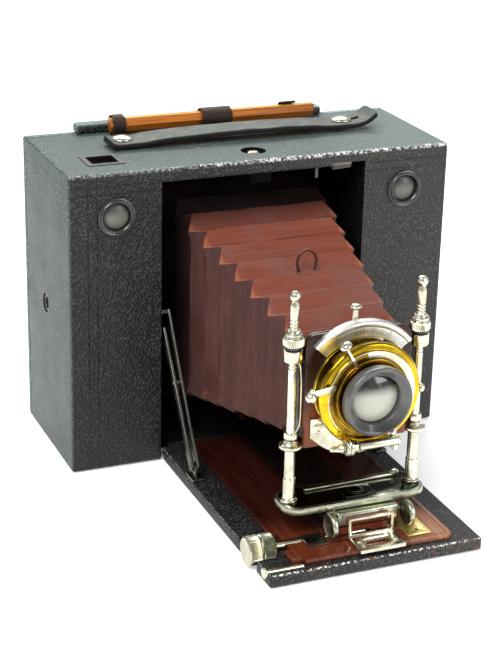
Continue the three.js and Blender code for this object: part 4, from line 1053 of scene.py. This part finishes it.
def valve_nozzle():
    nozzle = [(0, -23), (0.9, -23), (1.3, -21.5), (1.2, -21.3), (1.6, -19.7), (1.5, -19.5), (2, -17.9)]
    nozzle += [(2.5, -17.1), (2.4, -16.5), (1.5, -16.3), (1.5, -15.3), (3.4, -15.2), (4.3, -14.6)]
    nozzle += [(4.3, -13.7), (3.7, -13.3), (4.3, -12.9), (4.3, -11.7), (3.6, -10.9), (2.9, -10.8)]
    nozzle += [(2.9, -8.8), (1.2, -8.5), (1.2, 12), (0, 12)]
    nozzle = lathe(nozzle, "X", (0, *VALVE), 40, 0.12)
    finished("valve_nozzle", nozzle, "lens", "nickel", NICKEL)


def shutter_drum():
    profile = [(BARREL, -123.8), (25, -123.8), (25, -124.6), (24.6, -124.9), (24.6, -132), (25, -132.4)]
    profile += [(25, -132.8), (26.6, -133.2), (27, -133.6), (27, -135.4), (26.5, -136.2)]
    profile += [(25.8, -136.6), (24.0, -136.6), (23.5, -136.9), (23.2, -137.5), (22.6, -137.6)]
    profile.append((BARREL, -137.6))
    drum = lathe(profile, "Y", AXIS, 96, 0.2)
    iris = prism([ring_sector(20.5, 30, -46, 36)], "Y", -129.3, -126.9, 0)
    ring = lathe(tube(19.9, 23.4, -137.4, -137.8), "Y", AXIS, 60, 0.08, sweep=(-62, 98))
    lip = lathe(tube(22.9, 23.4, -137.4, -137.8), "Y", AXIS, 48, 0.08, sweep=(98, 220))
    face = lathe(tube(19.9, 22.7, -137.5, -137.7), "Y", AXIS, 60, 0.05, sweep=(100, 296))
    drum = merged(carved(drum, iris), (ring, 1), (lip, 1), (face, 2))
    finished("shutter_housing", drum, "lens", "brass", [BRASS, NICKEL, TUBE_BRASS], sharp=30)


def speed_lever():
    hub = [(BARREL, -137.9), (19.6, -137.9), (19.6, -138.6), (19, -138.9), (BARREL, -138.9)]
    hub = lathe(hub, "Y", AXIS, 72)
    turn = math.radians(119)
    along = Vector((math.cos(turn), math.sin(turn)))
    side = Vector((-along.y, along.x))
    reach = ((18.5, -0.9), (31, -0.5), (31, 0.5), (18.5, 0.9))
    corners = [Vector((0, AXIS_Z)) + along * r + side * w for r, w in reach]
    arm = prism([[tuple(c) for c in corners]], "Y", -138.9, -137.9, 0.2)
    head = [(0, 30.3), (0.9, 30.3), (1.2, 31), (2.6, 31.3), (3.2, 31.9), (3.2, 32.5), (2.5, 33.6)]
    head += [(1.2, 34.2), (0, 34.3)]
    knob = lathe(head, "Z", (0, 0, 0), 28, 0.2)
    bmesh.ops.rotate(knob, verts=knob.verts, matrix=Matrix.Rotation(math.pi / 2 - turn, 3, "Y"))
    bmesh.ops.translate(knob, verts=knob.verts, vec=(0, -138.4, AXIS_Z))
    finished("speed_lever", merged((hub, 1), arm, knob), "speed", "nickel", [NICKEL, TUBE_BRASS])


def iris_and_release_levers():
    blade = prism([ring_sector(21, 31, -10.5, -4.5, 6)], "Y", -129, -127.2, 0.2)
    ball = [(0, 30), (1.6, 30.4), (2.3, 31.4), (2.3, 32.4), (1.5, 33.4), (0, 33.8)]
    pin = lathe(ball, "X", (0, -128.1, AXIS_Z - 4), 28, 0.3)
    finished("iris_lever", merged(blade, pin), "iris", "nickel", NICKEL)
    x, z = RELEASE
    outline = [(x + 1.3, z - 1.9), (x + 1.3, z + 1.6), (-31.4, z), (-31.4, z - 3)]
    arm = prism([outline], "Y", -138.6, -137.9, 0.15)
    pivot = lathe(solid(1.4, -138.5, -135.2), "Y", (x, 0, z), 24)
    ball = [(0, -141.1), (1.5, -140.8), (2.6, -139.7), (2.9, -138.3), (2.6, -136.9), (1.5, -135.8)]
    end = lathe(ball + [(0, -135.5)], "Y", (-33, 0, z - 3.2), 28, 0.3)
    bead = [(0, -140), (1.1, -139.7), (1.6, -138.6), (1.1, -137.5), (0, -137.2)]
    bead = lathe(bead, "Y", (-32.4, 0, z + 0.1), 24, 0.3)
    finished("release_lever", merged(arm, pivot, end, bead), "release", "nickel", NICKEL)


def lens():
    barrel = [(12.7, -116.5), (16, -116.5), (16, -118), (17.2, -118.2), (17.2, -140.6), (17.6, -141)]
    barrel += [(17.9, -141.6), (17.9, -145.8), (17.6, -146.6), (17.1, -147), (16.3, -147)]
    barrel += [(15.6, -146.6), (13.4, -144.2), (12.7, -143.8)]
    bm = lathe(barrel, "Y", AXIS, 80, 0.25)
    for face in bm.faces:
        c = face.calc_center_median()
        face.material_index = 1 if c.y > -140.9 and math.hypot(c.x, c.z - AXIS_Z) > 15 else 0
    finished("lens_barrel", bm, "lens", "black_metal", [BEZEL, TUBE_BRASS])
    front = [(0, -143.7), (2.5, -143.6), (5, -143.3), (7, -142.9), (9, -142.3), (11, -141.5)]
    front += [(12.4, -140.8), (12.4, -137), (0, -137)]
    finished("front_glass", lathe(front, "Y", AXIS, 56, 0.1), "lens", "glass", GLASS)
    rear = [(0, -122), (12.4, -122), (12.4, -118.4), (9, -117.3), (5, -116.6), (0, -116.5)]
    finished("rear_glass", lathe(rear, "Y", AXIS, 48, 0.1), "lens", "glass", GLASS)


# ---- bellows ---------------------------------------------------------------------------------
PLEAT_STEPS = (0, 0.06, 0.25, 0.44, 0.5, 0.56, 0.75, 0.94)


def section(y, inset):
    """The bellows' outline at a place. Top and bottom fold out where the sides fold in.

    Halfway between, the sides fold out and the corners stick out further, as tips.
    """
    along = (y - BELLOWS_FRONT) / BELLOWS_LENGTH
    sides_out = abs(1 - 2 * ((along * PLEATS) % 1))
    w = NOSE_HALF + FLARE * along + BOW * along**2 - FOLD * (1 - sides_out) - inset
    h = 26.5 + 40 * along - FOLD * sides_out - inset
    middle = 83.5 + 2.7 * along
    tip = w if inset else w + TIP * sides_out * math.sin(math.pi * along)
    quarter = [(w, h - 5.5), (tip, h - 0.7), (tip - 0.7, h)]
    corners = quarter + [(-x, z) for x, z in quarter[::-1]]
    corners += [(-x, -z) for x, z in quarter] + [(x, -z) for x, z in quarter[::-1]]
    counts = (2, 1, 14, 1, 2, 16, 2, 1, 14, 1, 2, 16)
    points = []
    for x, z in divided(corners, counts):
        soft = 0.7 * noise.noise(Vector((x * 0.05, y * 0.13, z * 0.05)))
        soft += 0.2 * noise.noise(Vector((x * 0.2, y * 0.9, z * 0.2)))
        length = math.hypot(x, z)
        points.append((x * (1 + soft / length), y, middle + z * (1 + soft / length)))
    return points


def pleated(first, last):
    """A closed skin between two places, counted in pleats from the front."""
    places = [first]
    for pleat in range(int(first), int(last) + 1):
        places += [pleat + step for step in PLEAT_STEPS if first < pleat + step < last]
    places.append(last)
    stations = [BELLOWS_FRONT + PITCH * p for p in places]
    bm = bmesh.new()
    outer = [[bm.verts.new(p) for p in section(y, 0)] for y in stations]
    inner = [[bm.verts.new(p) for p in section(y, SKIN)] for y in stations]
    bridged(bm, outer + inner[::-1] + outer[:1])
    return bm


def bellows():
    rear, main, front = PLEATS - 0.5, 1, 0.5
    at = lambda pleat: BELLOWS_FRONT + PITCH * pleat
    publish("bellows_rear", pleated(rear, PLEATS), ("body", "track"), "red_leather", RED, ("bellows",),
            sharp=24, across=(at(PLEATS), at(rear)))
    loop = [(-0.6, 119.5), (-1.9, 123.5), (-2.4, 127.5), (-0.8, 131.6), (3, 133.5), (6.8, 131.6)]
    loop += [(8.4, 127.5), (7.9, 123.5), (6.6, 119.5)]
    tab = rope(spline([(x, -50, z) for x, z in loop], 6), 0.8)
    folds = merged(pleated(main, rear), tab)
    folded = publish("bellows_main", folds, "track", "red_leather", RED, sharp=24)
    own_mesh(folded)
    publish("bellows_shift", pleated(front, main), ("carriage", "shift"), "red_leather", RED, sharp=24,
            across=(at(main), at(front)))
    publish("bellows_nose", pleated(0, front), ("shift", "lens"), "red_leather", RED, sharp=24,
            across=(at(front), at(0)))


def carried_over():
    """CAD nodes whose shape is right as it is, given their finishes."""
    looks = {"inner_frame": LINING, "feed_spool": SPOOL, "takeup_spool": SPOOL, "wind_key": NICKEL,
             "pinion_shaft": NICKEL, "focus_track": TRACK}
    for node, look in looks.items():
        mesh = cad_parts[node].data
        mesh.materials.clear()
        mesh.materials.append(look)


# ---- floor, light and camera -----------------------------------------------------------------
def floor():
    look = Look("pale_floor", Emission_Color=(1, 1, 1), Emission_Strength=0.3)
    colour = look.mix(look.noise(0.004, 2), (0.86, 0.86, 0.85), (0.9, 0.9, 0.89))
    look.use(colour, 0.6)
    bpy.ops.mesh.primitive_plane_add(size=8, location=(0, 0, -0.0005))
    plane = bpy.context.object
    plane.name = "floor"
    plane.data.materials.append(look.material)


def area_light(name, place, target, size, power):
    light = bpy.data.lights.new(name, "AREA")
    light.shape = "RECTANGLE"
    light.size, light.size_y = size
    light.energy = power
    obj = bpy.data.objects.new(name, light)
    obj.location = place
    obj.rotation_euler = (Vector(target) - Vector(place)).to_track_quat("-Z", "Y").to_euler()
    bpy.context.scene.collection.objects.link(obj)


def studio():
    scene = bpy.context.scene
    world = bpy.data.worlds.new("studio")
    world.use_nodes = True
    world.node_tree.nodes["Background"].inputs["Color"].default_value = (0.93, 0.96, 1, 1)
    world.node_tree.nodes["Background"].inputs["Strength"].default_value = 0.55
    scene.world = world
    scene.view_settings.view_transform = "Standard"
    area_light("key", (-0.9, -0.7, 1.3), (0, 0, 0.08), (0.9, 0.9), 30)
    area_light("fill", (0.9, -1.3, 0.7), (0, -0.1, 0.05), (0.8, 0.8), 12)
    area_light("rim", (0.3, 1.0, 1.2), (0, 0, 0.1), (1.2, 0.6), 18)


def camera():
    data = bpy.data.cameras.new("camera")
    data.sensor_width = 36
    data.lens = 94.03
    data.clip_start = 0.01
    right = Vector((0.92437, -0.38084, 0.02253))
    down = Vector((-0.12002, -0.34637, -0.93039))
    forward = Vector((0.36213, 0.85732, -0.36588))
    turn = Matrix((right, -down, -forward)).transposed().to_4x4()
    obj = bpy.data.objects.new("camera", data)
    obj.matrix_world = Matrix.Translation((-0.35841, -0.87522, 0.42424)) @ turn
    bpy.context.scene.collection.objects.link(obj)
    bpy.context.scene.camera = obj


camera()
floor()
studio()

body_cover()
back_cover()
finders()
strap()
pencil_and_loops()
bed_release()
tripod_bushes()

bed()
hinge_and_stays()
striker()
pinion_cover()
rods_and_knob()
carriage()

shift_plate()
posts()
lens_frame()
clamp_nuts()
lens_board()

shutter_plate()
valve_nozzle()
shutter_drum()
speed_lever()
iris_and_release_levers()
lens()

bellows()
carried_over()
